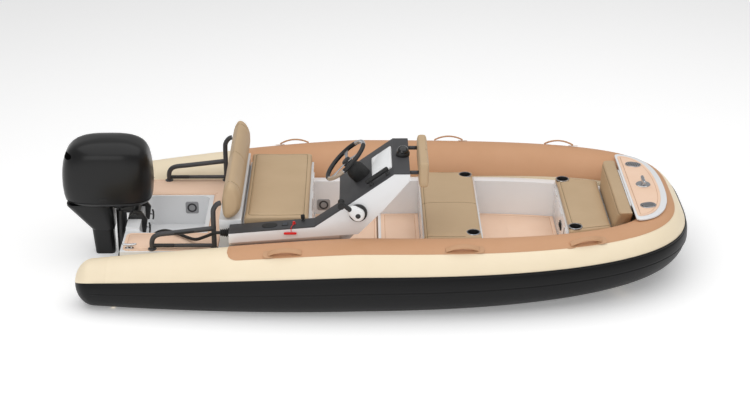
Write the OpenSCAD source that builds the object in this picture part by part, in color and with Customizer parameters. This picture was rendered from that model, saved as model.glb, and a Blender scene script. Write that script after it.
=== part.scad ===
// Rigid inflatable boat with a side console, three bench seats and one outboard engine.
// Millimetres. +X runs to the bow, +Y to port and +Z up. The origin lies on the centreline at the
// level of the water when the boat floats empty, midway between the engine's back and the bow.

/* [Buoyancy tubes] */
// Position of the very bow
bow_end_x = 2100; // [2060:5:2140]
// Position of the tubes' aft ends
stern_x = -1915; // [-2000:5:-1840]
// Distance from the centreline to the middle of a side tube, amidships
tube_mid_y = 830; // [760:5:1000]
// Distance from the centreline to the middle of a side tube, at the stern
tube_stern_y = 755; // [700:5:900]
// Tube radius amidships
tube_r = 232; // [194:1:280]
// Tube radius at the stern
tube_stern_r = 144; // [130:1:172]
// Tube radius at the bow
tube_bow_r = 176; // [147:1:212]
// Height of the tube's middle above the water, amidships
tube_z = 220; // [180:5:260]
// How far the tube's middle drops from amidships to the stern
tube_stern_drop = 77; // [50:1:92]
// How far the tube's middle rises from amidships to the bow
tube_bow_rise = 62; // [30:2:80]
// Length of each rounded tube end at the stern
tube_dome = 120; // [100:5:150]
// Thickness of the rubbing strake
strake_t = 6; // [4:0.5:8]
// Thickness of the anti-slip cover on top of the tubes
wrap_t = 3; // [2:0.5:4]
// Length of a grab handle over its loop
handle_len = 200; // [160:5:240]
// How far a grab handle's loop stands off the tube
handle_rise = 36; // [28:2:44]
// Width of the handle webbing
handle_w = 40; // [30:2:50]

/* [Hull and deck] */
// Depth of the keel below the water
keel_depth = 205; // [170:5:245]
// Position of the transom's outer face
transom_x = -1650; // [-1700:5:-1600]
// Thickness of the transom
transom_t = 90; // [60:5:110]
// Height of the transom pad that the engine hangs on
transom_top = 290; // [280:5:300]
// Height of the cockpit floor
floor_z = 30; // [25:5:45]
// Height of the coaming round the cockpit
coaming_z = 285; // [280:5:290]
// Height of the aft side decks
deck_z = 275; // [265:5:280]
// Width of the coaming and thickness of the cockpit side
side_t = 68; // [50:2:80]
// Thickness of the foam deck covering
mat_t = 6; // [4:1:8]
// Half width of the motor well
well_half_y = 300; // [280:5:330]
// Front end of the motor well
well_fwd_x = -1130; // [-1160:5:-1100]
// Height of the motor well's floor
well_floor_z = 60; // [50:5:90]

/* [Seats] */
// Aft and forward edges of the helm seat cushion
helm_seat_x0 = -858; // [-870:1:-850]
helm_seat_x1 = -410; // [-430:5:-390]
// Half width of the helm seat cushion
helm_seat_y = 550; // [460:5:560]
// Top of the helm seat cushion
helm_seat_z = 500; // [480:5:520]
// Aft and forward edges of the middle seat cushion
mid_seat_x0 = 320; // [300:5:340]
mid_seat_x1 = 720; // [680:5:760]
// Half width of the middle seat cushion
mid_seat_y = 560; // [520:5:570]
// Aft edge of the bow seat cushion
bow_seat_x0 = 1280; // [1240:5:1300]
// Forward edge of the bow seat cushion
bow_seat_x1 = 1575; // [1560:5:1590]
// Top of the middle and bow seat cushions
seat_z = 352; // [340:2:365]
// Thickness of a seat cushion
cushion_t = 55; // [45:1:60]
// Thickness of a seat lid
lid_t = 18; // [12:1:22]
// Wall thickness of a seat locker
locker_t = 30; // [20:1:36]
// Height of the helm backrest
backrest_h = 258; // [215:1:300]
// Thickness of the helm backrest
backrest_t = 140; // [115:1:150]
// Outer radius of a cup holder's cup
cup_r = 37; // [30:0.5:40]

/* [Console] */
// Outboard and inboard faces of the console, measured to starboard
console_y0 = -700; // [-710:5:-690]
console_y1 = -110; // [-140:5:-60]
// Inboard face of the low side module
module_y1 = -570; // [-580:5:-562]
// Thickness of the dark trim panels
trim_t = 8; // [5:1:12]
// Diameter of the steering wheel
wheel_d = 350; // [290:5:380]
// Thickness of the steering wheel's rim
wheel_rim_d = 30; // [24:1:36]
// Slope of the steering wheel's shaft from the horizontal
wheel_tilt = 46; // [35:1:55]

/* [Outboard engine] */
// Height of the tilt axis
tilt_z = 320; // [312:2:330]
// Position of the tilt axis
tilt_x = -1600; // [-1610:5:-1590]
// Position of the steering axis
steer_x = -1710; // [-1720:5:-1705]
// Height of the top of the engine cover
cowl_top = 854; // [800:2:900]
// Half width of the engine cover
cowl_half_y = 185; // [154:1:222]
// Depth of the skeg's tip below the water
skeg_depth = 530; // [480:5:600]
// Diameter of the propeller
prop_d = 310; // [280:5:320]

/* [Hidden] */
$fn = 48;

gap = 0.3;                      // between solids that lie on each other
run = 0.05;                     // radial clearance of a shaft in its bearing
tube_sides = 24;                // facets round a tube
bow_x = bow_end_x - tube_bow_r;     // middle of the tube at the very bow
bend_x = 160;                   // where the side tubes start to curve in
mid_x = -100;                   // widest place, where sheer and taper start
split_a = 50;                   // bow angle where the side chambers meet the bow chamber
coaming_y = tube_mid_y - tube_r - 10;    // outer side of the deck moulding
cockpit_y = coaming_y - side_t;          // inner side of the cockpit

// ---- tube path ----
function clamp01(v) = max(0, min(1, v));
function aft(x) = clamp01((mid_x - x) / (mid_x - stern_x));
function fwd(x) = clamp01((x - mid_x) / (bow_x - mid_x));
function tube_cz(x) = tube_z + tube_bow_rise * pow(fwd(x), 2.2) - tube_stern_drop * pow(aft(x), 1.1);
function tube_cr(x) = tube_r + (tube_stern_r - tube_r) * pow(aft(x), 1.6)
    + (tube_bow_r - tube_r) * pow(fwd(x), 1.5);
function side_y(x) = let (f = clamp01((x - stern_x) / (mid_x - stern_x)))
    tube_stern_y + (tube_mid_y - tube_stern_y) * f * (2 - f);
// The straight stretch is told by x, and the bow curve by an angle from 0 to 90 degrees
function straight_pt(x) = [x, side_y(x), tube_cz(x)];
function bow_pt(a) = let (x = bend_x + (bow_x - bend_x) * pow(sin(a), 0.78))
    [x, tube_mid_y * pow(max(0, cos(a)), 0.55), tube_cz(x)];
function bow_dir(a) = a > 89.9 ? [0, -1, 0]
    : let (d = bow_pt(min(a + 0.3, 89.95)) - bow_pt(max(a - 0.3, 0.01))) d / norm(d);
function straight_dir(x) = let (d = straight_pt(x + 5) - straight_pt(x - 5)) d / norm(d);
// A station is its place, its direction along the tube and its radius
function straight_st(x) = [straight_pt(x), straight_dir(x), tube_cr(x)];
function bow_st(a) = [bow_pt(a), bow_dir(a), tube_cr(bow_pt(a)[0])];
function flip(v) = [v[0], -v[1], v[2]];
function flip_st(s) = [flip(s[0]), -flip(s[1]), s[2]];
function reversed(v) = [for (i = [len(v) - 1:-1:0]) v[i]];

dome_x = stern_x + tube_dome;
function dome_st(a) = let (s = straight_st(dome_x))
    [s[0] - [tube_dome * sin(a), 0, 0], s[1], s[2] * cos(a)];
dome_stations = [for (a = [82, 65, 45, 25]) dome_st(a)];
straight_stations = [for (x = [dome_x, -1700, -1550, -1400, -1200, -920, -600, -300, 0, 160])
    straight_st(x)];
bow_angles = [6, 14, 22, 30, 38, 44];
bow_half = [for (a = bow_angles) bow_st(a)];
side_stations = concat(dome_stations, straight_stations, bow_half, [bow_st(split_a)]);
tip_half = [for (a = [split_a + 0.04, 56, 62, 68, 74, 80, 85]) bow_st(a)];
tip_stations = concat(tip_half, [bow_st(90)], reversed([for (s = tip_half) flip_st(s)]));
all_bow = concat([for (x = [-920, -600, -300, 0, 160]) straight_st(x)], bow_half, tip_half);
wrap_stations = concat(all_bow, [bow_st(90)], reversed([for (s = all_bow) flip_st(s)]));
strake_half = concat(straight_stations, bow_half, tip_half);
strake_stations = concat(strake_half, [bow_st(90)], reversed([for (s = strake_half) flip_st(s)]));

// Point on a station at an angle from the outboard side, at a radius
function station_pt(s, ang, r) = let (o = cross(s[1], [0, 0, 1]), on = -o / norm(o),
    b = cross(s[1], on)) s[0] + r * (cos(ang) * on + sin(ang) * b);
// Closed skin over rings of equal, even length. Each end is closed by a ladder of quads, so that
// a ring may also be a thin curved band.
module skin(rings) {
    n = len(rings[0]);
    m = len(rings);
    pts = [for (r = rings) each r];
    faces = concat([for (i = [0:n / 2 - 2]) [i, i + 1, n - 2 - i, n - 1 - i]],
        [for (j = [0:m - 2]) for (i = [0:n - 1]) let (k = (i + 1) % n)
            let (a = j * n + i, b = (j + 1) * n + i, c = (j + 1) * n + k, d = j * n + k)
            each [[a, b, c], [a, c, d]]],
        [for (i = [0:n / 2 - 2]) let (b = (m - 1) * n) [b + n - 1 - i, b + n - 2 - i, b + i + 1, b + i]]);
    polyhedron(pts, faces);
}
module tube_run(stations, grow = 0) {
    skin([for (s = stations) [for (i = [0:tube_sides - 1])
        station_pt(s, i * 360 / tube_sides, s[2] + grow)]]);
}
// Strip on the tube's skin over a list of angles, which holds every corner of the tube that it covers
module tube_strip(stations, angs, t) {
    skin([for (s = stations) concat(
        [for (a = angs) station_pt(s, a, s[2] + gap + t)],
        [for (a = reversed(angs)) station_pt(s, a, s[2] + gap)])]);
}
module mirrored_y() { children(); mirror([0, 1, 0]) children(); }

// Round bar swept along points; the first and last directions follow the path
function path_dir(p, i) = let (d = p[min(i + 1, len(p) - 1)] - p[max(i - 1, 0)]) d / norm(d);
function ring_at(c, d, r, n) = let (ref = abs(d[2]) > 0.9 ? [1, 0, 0] : [0, 0, 1],
    u = cross(d, ref) / norm(cross(d, ref)), v = cross(u, d))
    [for (i = [0:n - 1]) c + r * (cos(i * 360 / n) * u - sin(i * 360 / n) * v)];
module bar(p, r, n = 12) {
    skin([for (i = [0:len(p) - 1]) ring_at(p[i], path_dir(p, i), r, n)]);
}
// Box between two corners
module block(a, b) { translate(a) cube(b - a); }
// Flat plate with round corners, from exact prisms
module plate(x0, x1, y0, y1, z0, z1, r) {
    translate([0, 0, z0]) linear_extrude(z1 - z0) {
        translate([x0 + r, y0]) square([x1 - x0 - 2 * r, y1 - y0]);
        translate([x0, y0 + r]) square([x1 - x0, y1 - y0 - 2 * r]);
        for (x = [x0 + r, x1 - r], y = [y0 + r, y1 - r]) translate([x, y]) circle(r, $fn = 32);
    }
}
// Prism along Y between two planes, from an outline in X and Z
module prism_y(y0, y1, outline) {
    translate([0, y1, 0]) rotate([90, 0, 0]) linear_extrude(y1 - y0) polygon(outline);
}

// ---- plan outlines that follow the tubes ----
function inner_pt(s, off) = let (p = station_pt(s, 180, s[2] + off)) [p[0], p[1]];
inner_angles = [6, 14, 22, 30, 38, 44, 50, 56, 62];
function plan_half(off, x_end) = [for (a = inner_angles) let (p = inner_pt(bow_st(a), off))
    if (p[0] < x_end && p[0] > bend_x - 120) p];
function plan_at(off, x) =
    lookup(x, concat([[bend_x - 130, tube_mid_y - tube_r - off]], plan_half(off, 3000)));
module plan_inside(off, x0, x1) {
    y = tube_mid_y - tube_r - off;
    h = concat(
        x0 < bend_x - 130 ? [[x0, y], [min(x1 - 1, bend_x - 130), y]] : [[x0, plan_at(off, x0)]],
        [for (p = plan_half(off, x1)) if (p[0] > x0 + 1) p],
        [[x1, plan_at(off, x1)]]);
    polygon(concat(h, [for (p = reversed(h)) [p[0], -p[1]]]));
}
module tube_space(grow) {
    mirrored_y() tube_run(side_stations, grow);
    tube_run(tip_stations, grow);
}

// ---- hull and deck ----
// x, keel height as a share of its depth, chine y and z, flange y and z
hull_stations = [[transom_x, -1, 560, -50, 660, 60], [-1200, -1, 585, -50, 690, 70],
    [-700, -1, 600, -50, 700, 80], [-200, -1, 600, -45, 705, 80], [300, -0.98, 595, -30, 700, 90],
    [700, -0.96, 580, -15, 670, 105], [1050, -0.86, 548, 0, 615, 125], [1300, -0.70, 505, 5, 545, 145],
    [1400, -0.56, 440, 60, 500, 160], [1500, -0.40, 360, 105, 430, 175], [1650, -0.04, 235, 140, 320, 195],
    [1760, 0.32, 130, 165, 190, 210], [1840, 0.66, 50, 185, 80, 220]];
function hull_outline(s) =
    [[-s[4], s[5]], [-s[2], s[3]], [0, s[1] * keel_depth], [s[2], s[3]], [s[4], s[5]]];
module hull_slab(s) {
    translate([s[0], 0, 0]) rotate([90, 0, 90]) linear_extrude(1) polygon(hull_outline(s));
}
cockpit_x0 = -1000;     // the helm seat's locker starts here
cockpit_x1 = 1640;      // the cockpit moulding ends under the bow deck
flare_x = 700;          // forward of here the deep part is narrower than the coaming
step_x = 1310;          // forward end of the deep part of the cockpit
step_z = 150;           // underside of the moulding forward of the deep part
module liner_body(g) {
    translate([0, 0, gap - g]) linear_extrude(deck_z - gap)
        plan_inside(10 - g, transom_x - 20 * g, cockpit_x0);
    translate([0, 0, gap - g]) linear_extrude(coaming_z - gap) plan_inside(10 - g, cockpit_x0, flare_x);
    translate([0, 0, gap - g]) linear_extrude(step_z) plan_inside(50 - g, flare_x, step_x + 20 + g);
    translate([0, 0, step_z - g]) linear_extrude(coaming_z - step_z + g)
        plan_inside(10 - g, flare_x, cockpit_x1 + g);
}
module hull_shell() {
    color("#1d1d1f") difference() {
        for (i = [0:len(hull_stations) - 2])
            hull() { hull_slab(hull_stations[i]); hull_slab(hull_stations[i + 1]); }
        tube_space(gap);
        liner_body(gap);
    }
}
module deck_liner() {
    color("white") difference() {
        union() {
            liner_body(0);
            block([transom_x, -250, deck_z - 1], [transom_x + transom_t, 250, transom_top]);
        }
        translate([0, 0, floor_z]) linear_extrude(400) plan_inside(10 + side_t, cockpit_x0, step_x);
        translate([0, 0, step_z + 20]) linear_extrude(400) plan_inside(10 + side_t, step_x, cockpit_x1 - 20);
        plate(transom_x + transom_t, well_fwd_x, -well_half_y, well_half_y, well_floor_z, 400, 60);
    }
}
module cockpit_mat() {
    spans = [[helm_seat_x1 + 4, 40], [60, mid_seat_x0 + 6], [mid_seat_x1 - 6, bow_seat_x0 + 4]];
    color("#efcbb0") for (x = spans)
        translate([0, 0, floor_z]) linear_extrude(mat_t) plan_inside(18 + side_t, x[0], x[1]);
}
mat_y0 = well_half_y + 14;      // inboard edge of a side deck covering
mat_y1 = coaming_y - 12;        // outboard edge of a side deck covering
module aft_deck_mat() {
    color("#efcbb0") {
        plate(transom_x + 16, cockpit_x0 - 14, mat_y0, mat_y1, deck_z, deck_z + mat_t, 40);
        plate(transom_x + 16, cockpit_x0 - 14, -mat_y1, -mat_y0, deck_z, deck_z + mat_t, 40);
        block([well_fwd_x + 30, -mat_y0 - 50, deck_z], [cockpit_x0 - 14, mat_y0 + 50, deck_z + mat_t]);
    }
}

// ---- buoyancy tubes ----
module tube_port() { color("#fbe9c9") tube_run(side_stations); }
module tube_starboard() { color("#fbe9c9") mirror([0, 1, 0]) tube_run(side_stations); }
module tube_bow() { color("#fbe9c9") tube_run(tip_stations); }
module rubbing_strake() { color("#202020") tube_strip(strake_stations, [-7.5, 0, 15, 22.5], strake_t); }
module tube_wrap() { color("#d3a17a") tube_strip(wrap_stations, [for (a = [60:15:165]) a], wrap_t); }
// Handles stand on the cover: where along the tube, and the angle round it
handle_places = [straight_st(-551), bow_st(8.5), bow_st(36.5)];
handle_ang = 68;
module handle(s) {
    rad = (handle_len * handle_len / 4 + handle_rise * handle_rise) / (2 * handle_rise);
    half = asin(handle_len / 2 / rad);
    base = s[2] + wrap_t + 3 * gap;
    c = station_pt(s, handle_ang, base + handle_rise - rad);
    up = station_pt(s, handle_ang, 1) - station_pt(s, handle_ang, 0);
    side = cross(up, s[1]);
    pts = [for (i = [-5:5]) let (a = half * i / 5) c + rad * (cos(a) * up + sin(a) * s[1])];
    nrm = [for (i = [-5:5]) let (a = half * i / 5) cos(a) * up + sin(a) * s[1]];
    skin([for (i = [0:10]) [pts[i] - side * handle_w / 2, pts[i] + side * handle_w / 2,
        pts[i] + side * handle_w / 2 + nrm[i] * 5, pts[i] - side * handle_w / 2 + nrm[i] * 5]]);
}
module tube_handles() { color("#c69872") mirrored_y() for (s = handle_places) handle(s); }

// ---- stern rails ----
rail_r = 16.5;
rail_y = 560;
rail_foot_x = -1440;
rail_post_x = -1035;
rail_base_z = deck_z + mat_t + rail_r + 9;
module rail() {
    bar([[rail_foot_x, rail_y, deck_z + mat_t + gap], [rail_foot_x, rail_y, 325], [-1434, rail_y, 352],
        [-1418, rail_y, 374], [-1390, rail_y, 386], [-1300, rail_y, 397], [rail_post_x, rail_y, 428]],
        rail_r);
    bar([[rail_foot_x + 5, rail_y, rail_base_z], [rail_post_x + 8, rail_y, rail_base_z]], rail_r * 0.8);
    bar([[rail_post_x, rail_y, deck_z + mat_t + gap], [rail_post_x, rail_y, 530], [-1030, rail_y, 565],
        [-1016, rail_y, 590], [-1000, rail_y, 604], [-984, rail_y, 608]], rail_r);
}
module stern_rails() { color("#3a3a3a") mirrored_y() rail(); }

// ---- helm seat ----
helm_lid_z = helm_seat_z - 70 - lid_t;
seat_gap = 0.5;         // under a closed lid
module locker(x0, x1, y, z0, z1) {
    difference() {
        block([x0, -y, z0], [x1, y, z1]);
        block([x0 + locker_t, -y + locker_t, z0 + locker_t], [x1 - locker_t, y - locker_t, z1 + 1]);
    }
}
// Hinge barrels on a lid, along a line across the boat
module hinge(x, z) {
    for (y = [-380, -60, 260]) translate([x, y, z]) rotate([-90, 0, 0]) cylinder(r = 4, h = 120);
}
module helm_seat_box() {
    color("white") {
        locker(helm_seat_x0 + 2, helm_seat_x1 - 2, cockpit_y - gap, floor_z + gap, helm_lid_z - seat_gap);
        difference() {
            block([cockpit_x0 + gap, -560, coaming_z + gap], [helm_seat_x0 + 2, 560, backrest_z0 - 2 - gap]);
            block([cockpit_x0 + 30, -530, coaming_z - 1], [helm_seat_x0 - 28, 530, 456]);
        }
    }
}
module helm_seat_lid() {
    color("white") {
        block([helm_seat_x0 + 7, -helm_seat_y + 20, helm_lid_z],
            [helm_seat_x1, helm_seat_y - 20, helm_lid_z + lid_t]);
        hinge(helm_seat_x1 + 2.5, helm_lid_z);
    }
}
module helm_seat_cushion() {
    color("#bfa581") plate(helm_seat_x0 + 7, helm_seat_x1, -helm_seat_y, helm_seat_y,
        helm_lid_z + lid_t + gap, helm_seat_z, 20);
}
backrest_z0 = 490;
module helm_backrest() {
    color("#bfa581") translate([-930, 0, 0]) prism_y(-600, 600, [[-40, backrest_z0], [0, backrest_z0 - 2],
        [45, backrest_z0 + 20], [backrest_t / 2, backrest_z0 + 70], [backrest_t / 2, backrest_z0 + 175],
        [48, backrest_z0 + 235], [14, backrest_z0 + backrest_h], [-12, backrest_z0 + backrest_h - 8],
        [-45, backrest_z0 + 150]]);
}

// ---- middle and bow seats ----
low_lid_z = coaming_z + seat_gap;
low_cushion_z = low_lid_z + lid_t + gap;
cup_hole_r = cup_r + 1;
mid_cups = [[mid_seat_x1 - 66, 476], [mid_seat_x1 - 66, -476]];
bow_cups = [[bow_seat_x0 + 52, 392], [bow_seat_x0 + 52, -392]];
module cup_holes(places) {
    for (p = places) translate([p[0], p[1], low_lid_z - 1]) cylinder(r = cup_hole_r, h = 100);
}
module cups(places) {
    for (p = places) translate([p[0], p[1], 0]) rotate_extrude() polygon([[0, low_lid_z + 1],
        [cup_r, low_lid_z + 1], [cup_r, seat_z + gap], [cup_r + 11, seat_z + gap],
        [cup_r + 11, seat_z + gap + 2], [cup_r - 2, seat_z + gap + 3], [cup_r - 2, low_lid_z + 4],
        [0, low_lid_z + 4]]);
}
module mid_seat_box() {
    color("white") locker(mid_seat_x0 + 8, mid_seat_x1 - 8, cockpit_y - gap, floor_z + gap, coaming_z);
}
module mid_seat_lid() {
    color("white") difference() {
        union() {
            block([mid_seat_x0 + 5, -mid_seat_y + 15, low_lid_z],
                [mid_seat_x1, mid_seat_y - 15, low_lid_z + lid_t]);
            hinge(mid_seat_x1, low_lid_z);
        }
        cup_holes(mid_cups);
    }
}
module mid_seat_cushion() {
    color("#bfa581") difference() {
        plate(mid_seat_x0, mid_seat_x1, -mid_seat_y, mid_seat_y, low_cushion_z, seat_z, 20);
        cup_holes(mid_cups);
    }
}
module mid_cup_holders() { color("#222222") cups(mid_cups); }
bow_seat_half0 = 470;   // half width of the bow seat at its aft edge
bow_seat_half1 = 400;   // half width of the bow seat at its forward edge
module bow_seat_outline(inset) {
    polygon([[bow_seat_x0 + inset, -bow_seat_half0 + inset], [bow_seat_x1 - inset, -bow_seat_half1 + inset],
        [bow_seat_x1 - inset, bow_seat_half1 - inset], [bow_seat_x0 + inset, bow_seat_half0 - inset]]);
}
bow_locker_x0 = bow_seat_x0 + 6;
bow_locker_x1 = cockpit_x1 - 20 - gap;
module bow_locker() {
    color("white") difference() {
        union() {
            translate([0, 0, floor_z + gap]) linear_extrude(coaming_z - floor_z - gap)
                plan_inside(10 + side_t + gap, bow_locker_x0, step_x - gap);
            translate([0, 0, step_z + 20 + gap]) linear_extrude(coaming_z - step_z - 20 - gap)
                plan_inside(10 + side_t + gap, step_x - gap, bow_locker_x1);
        }
        translate([0, 0, step_z + 20 + locker_t]) linear_extrude(400)
            plan_inside(10 + side_t + locker_t, bow_locker_x0 + locker_t, bow_seat_x1);
    }
    color("white") block([1700, -300, coaming_z + gap], [1712, 300, deck_bottom - gap]);
}
module bow_seat_lid() {
    color("white") difference() {
        union() {
            translate([0, 0, low_lid_z]) linear_extrude(lid_t) bow_seat_outline(4);
            hinge(bow_seat_x0 + 1.8, low_lid_z);
        }
        cup_holes(bow_cups);
    }
}
module bow_seat_cushion() {
    color("#bfa581") difference() {
        translate([0, 0, low_cushion_z]) linear_extrude(seat_z - low_cushion_z) bow_seat_outline(0);
        cup_holes(bow_cups);
    }
}
module bow_cup_holders() { color("#222222") cups(bow_cups); }
module locker_latch() {
    color("#222222") block([bow_locker_x0 - 14, -32, 150], [bow_locker_x0 - gap, 32, 205]);
}
module bow_backrest() {
    color("#bfa581") hull() {
        block([1580, -330, coaming_z + gap], [1690, 330, 300]);
        block([1612, -460, 470], [1697, 460, 478]);
    }
}
deck_bottom = tube_z + tube_bow_rise + tube_bow_r + wrap_t + 1;
deck_top = deck_bottom + 14;
deck_half = [[1708, 555], [1790, 535], [1860, 480], [1915, 390], [1950, 270], [1966, 140], [1970, 0]];
mat_half = [[1722, 510], [1785, 490], [1840, 440], [1885, 350], [1912, 240], [1925, 120], [1928, 0]];
module both_sides(h) { polygon(concat(h, [for (p = reversed(h)) if (p[1] > 0) [p[0], -p[1]]])); }
module bow_deck() {
    color("white") translate([0, 0, deck_bottom]) linear_extrude(deck_top - deck_bottom)
        both_sides(deck_half);
}
module bow_deck_mat() {
    color("#efcbb0") translate([0, 0, deck_top + gap]) linear_extrude(4) both_sides(mat_half);
}

// ---- stainless fittings ----
eye_r = 24;
eye_bore = 11;
eye_t = 14;
fitting_z = deck_top + gap + 4 + gap;
module eye() {
    difference() {
        cylinder(r = eye_r, h = eye_t, center = true);
        cylinder(r = eye_bore, h = eye_t + 2, center = true);
    }
}
module cleat() {
    translate([0, 0, 3]) cube([70, 36, 6], center = true);
    for (x = [-16, 16]) translate([x, 0, 6]) cylinder(r = 6, h = 24);
    translate([-60, 0, 32]) rotate([0, 90, 0]) cylinder(r = 8, h = 120);
}
stern_eye = [transom_x - eye_r - gap, 420, 100];
bow_eye = [1719.4, 0, 8.3];
module deck_fittings() {
    color("#c9c9cc") {
        translate([1830, 0, fitting_z]) rotate([0, 0, 90]) cleat();
        translate([1830, 0, fitting_z]) cylinder(r = 50, h = 5);
        for (s = [-1, 1]) translate([1812, s * 342, fitting_z]) rotate([0, 0, -s * 20])
            plate(-55, 55, -42, 42, 0, 8, 40);
        for (s = [-1, 1]) translate([-1590, s * 545, deck_z + mat_t + gap]) scale(0.8) cleat();
        for (s = [-1, 1]) translate([stern_eye[0], s * stern_eye[1], stern_eye[2]]) eye();
        translate(bow_eye) rotate([90, 0, 0]) eye();
    }
}
module access_plates() {
    color("#9a9a9c") {
        block([-1305, well_half_y - 8, 142], [-1215, well_half_y - gap, 230]);
        block([-392, cockpit_y - 8, 62], [-300, cockpit_y - gap, 146]);
    }
}

// ---- console ----
// Upper line of the trim in X and Z, from the side module up the arm to the flat top
trim_line = [[-930, 460], [-380, 505], [-220, 617], [130, 870], [230, 870]];
function trim_z(x) = lookup(x, trim_line);
dash_slope = atan2(870 - 617, 130 + 220);
module trim_band(y0, y1, from, to) {
    line = concat([[from, trim_z(from)]], [for (p = trim_line) if (p[0] > from && p[0] < to) p],
        [[to, trim_z(to)]]);
    prism_y(y0, y1, concat(line, [for (p = reversed(line)) [p[0], p[1] - trim_t]]));
}
// The side module stands on the coaming, leans over the tube and rises to the dash:
// x, height of its outboard lower edge, and height of its inboard lower edge
module_stations = [[-930, 388, 0], [-380, 430, 0], [-220, 441, 0], [-100, 448, 134], [60, 614, 328],
    [130, 699, 413], [230, 820, 534]];
function module_ring(s) = let (top = trim_z(s[0]) - trim_t - gap, low = coaming_z + gap + s[2])
    [[s[0], console_y0, s[1]], [s[0], module_y1 - 10, low], [s[0], module_y1, low],
    [s[0], module_y1, top], [s[0], (console_y0 + module_y1) / 2, top], [s[0], console_y0, top]];
module console_body() {
    color("white") {
        skin([for (s = module_stations) module_ring(s)]);
        prism_y(module_y1 - 60, console_y1, [[-219, 590], [-219, trim_z(-219) - trim_t - 0.8],
            [130, 870 - trim_t - 0.8], [229, 870 - trim_t - 0.8], [229, 822], [-60, 470], [-150, 520]]);
    }
}
module console_trim() {
    color("#4a4a4a") {
        trim_band(console_y0, module_y1, -930, 230);
        trim_band(module_y1 - 1, console_y1, -220, 230);
    }
}
// Placed on the sloping dash, at a position along X and Y
module on_dash(x, y) { translate([x, y, trim_z(x) + gap]) rotate([0, -dash_slope, 0]) children(); }
module display() { color("#f4f4f4") on_dash(56, -410) plate(-76, 76, -175, 175, 0, 10, 8); }

wheel_c = [-180, -400, 836];
module at_wheel() { translate(wheel_c) rotate([0, wheel_tilt - 90, 0]) children(); }
shaft_r = 10;
hub_r = 34;
module dash_fittings() {
    color("#222222") {
        difference() {
            union() {
                at_wheel() translate([0, 0, -176]) cylinder(r1 = 72, r2 = 36, h = 140);
                at_wheel() translate([0, 0, -37]) cylinder(r = shaft_r, h = 34);
            }
            on_dash(-93, -400) translate([-150, -150, -200]) cube([300, 300, 200]);
        }
        translate([190, -400, 870 + gap]) cylinder(r = 45, h = 22);
        translate([190, -400, 870 + gap + 22]) rotate_extrude() intersection() {
            circle(43);
            translate([0, -1]) square([60, 60]);
        }
        on_dash(40, -645) union() {
            translate([-62, 0, 0]) cylinder(r = 12, h = 34);
            translate([62, 0, 0]) cylinder(r = 12, h = 34);
            translate([-85, 0, 34]) rotate([0, 90, 0]) cylinder(r = 14, h = 170);
        }
        module_slope = atan2(45, 550);
        for (f = [[-668, 48, 26, 3], [-569, 20, 22, 5]])
            translate([f[0], -635, trim_z(f[0]) + gap]) rotate([0, -module_slope, 0])
                plate(-f[1], f[1], -f[2], f[2], 0, f[3], min(f[1], f[2]) - 1);
        translate([-453, -600, trim_z(-453) + gap]) rotate([0, -module_slope, 0]) cylinder(r = 12, h = 42);
    }
}
throttle_c = [-100, console_y0, 600];
module throttle() {
    translate(throttle_c) {
        color("#222222") translate([0, -gap, 0]) rotate([90, 0, 0]) cylinder(r = 59, h = 18);
        color("white") translate([0, -gap - 18, 0]) rotate([90, 0, 0]) cylinder(r = 42, h = 40);
        color("#222222") translate([0, -45, 0]) rotate([0, -144, 0]) {
            translate([30, 0, 0]) rotate([0, 90, 0]) cylinder(r = 9, h = 78);
            translate([108, 0, 0]) rotate([90, 0, 0]) translate([0, 0, -36]) cylinder(r = 17, h = 85);
        }
    }
}
kill_p = [-511, -640];
module kill_switch() {
    color("#e0262b") translate([kill_p[0], kill_p[1], trim_z(kill_p[0]) + gap])
        rotate([0, -4.7, 0]) cylinder(r = 11, h = 16);
}
// Lanyard from the switch over the edge of the trim to its float
lanyard_r = 2.5;
lanyard_pts = [[-511, -652, 506], [-513, -664, 505], [-517, -677, 503], [-522, -690, 503], [-526, -701, 500],
    [-528, -707, 492], [-528, -709, 482], [-528, -709, 472]];
module kill_lanyard() { color("#e0262b") bar(lanyard_pts, lanyard_r, 8); }
module kill_tag() {
    color("#e0262b") translate([-575, -708.6, 459]) rotate([0, 90, 0]) cylinder(r = 8, h = 82);
}
module bolster_bars() {
    color("#3a3a3a") for (y = [-210, -620]) translate([230.5 + gap, y, 842]) rotate([0, 90, 0])
        cylinder(r = 13, h = 58);
}
module bolster() {
    color("#bfa581") plate(289, 350, -670, -150, 745, 925, 25);
}

// ---- steering wheel ----
module steering_wheel() {
    color("#222222") at_wheel() {
        difference() {
            union() {
                rotate_extrude() translate([wheel_d / 2 - wheel_rim_d / 2, 0])
                    circle(wheel_rim_d / 2, $fn = 24);
                translate([0, 0, -30]) cylinder(r = hub_r, h = 36);
                for (a = [90, 210, 330]) rotate([0, 0, a]) translate([hub_r - 6, -14, -8])
                    cube([wheel_d / 2 - wheel_rim_d - hub_r + 12, 28, 8]);
            }
            translate([0, 0, -31]) cylinder(r = shaft_r + run, h = 30);
        }
    }
}

// ---- rigging ----
boot_turns = 5;
module boot(p, dir_z, dir_y) {
    translate(p) rotate([0, dir_y, dir_z]) rotate_extrude() polygon(concat([[0, 0]],
        [for (i = [0:boot_turns - 1]) each [[22 - i, i * 12], [30 - 2 * i, i * 12 + 3],
            [30 - 2 * i, i * 12 + 8], [22 - i, i * 12 + 11]]], [[0, boot_turns * 12 - 1]]));
}
module cable_boots() {
    color("#222222") {
        boot([-930 - gap, -620, 425], 0, -90);
        boot([well_fwd_x - gap, -150, 150], 0, -90);
    }
}
hose_pts = [[-990, -620, 425], [-1008, -620, 425], [-1030, -610, 417], [-1060, -590, 395],
    [-1110, -545, 355], [-1160, -495, 318], [-1210, -440, 302], [-1270, -385, 300],
    [-1330, -335, 298], [-1385, -300, 291], [-1430, -266, 266],
    [-1470, -240, 234], [-1510, -222, 205], [-1535, -215, 200], [-1559.5, -215, 200]];
module rigging_hose() { color("#222222") bar(hose_pts, 11, 10); }

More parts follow.
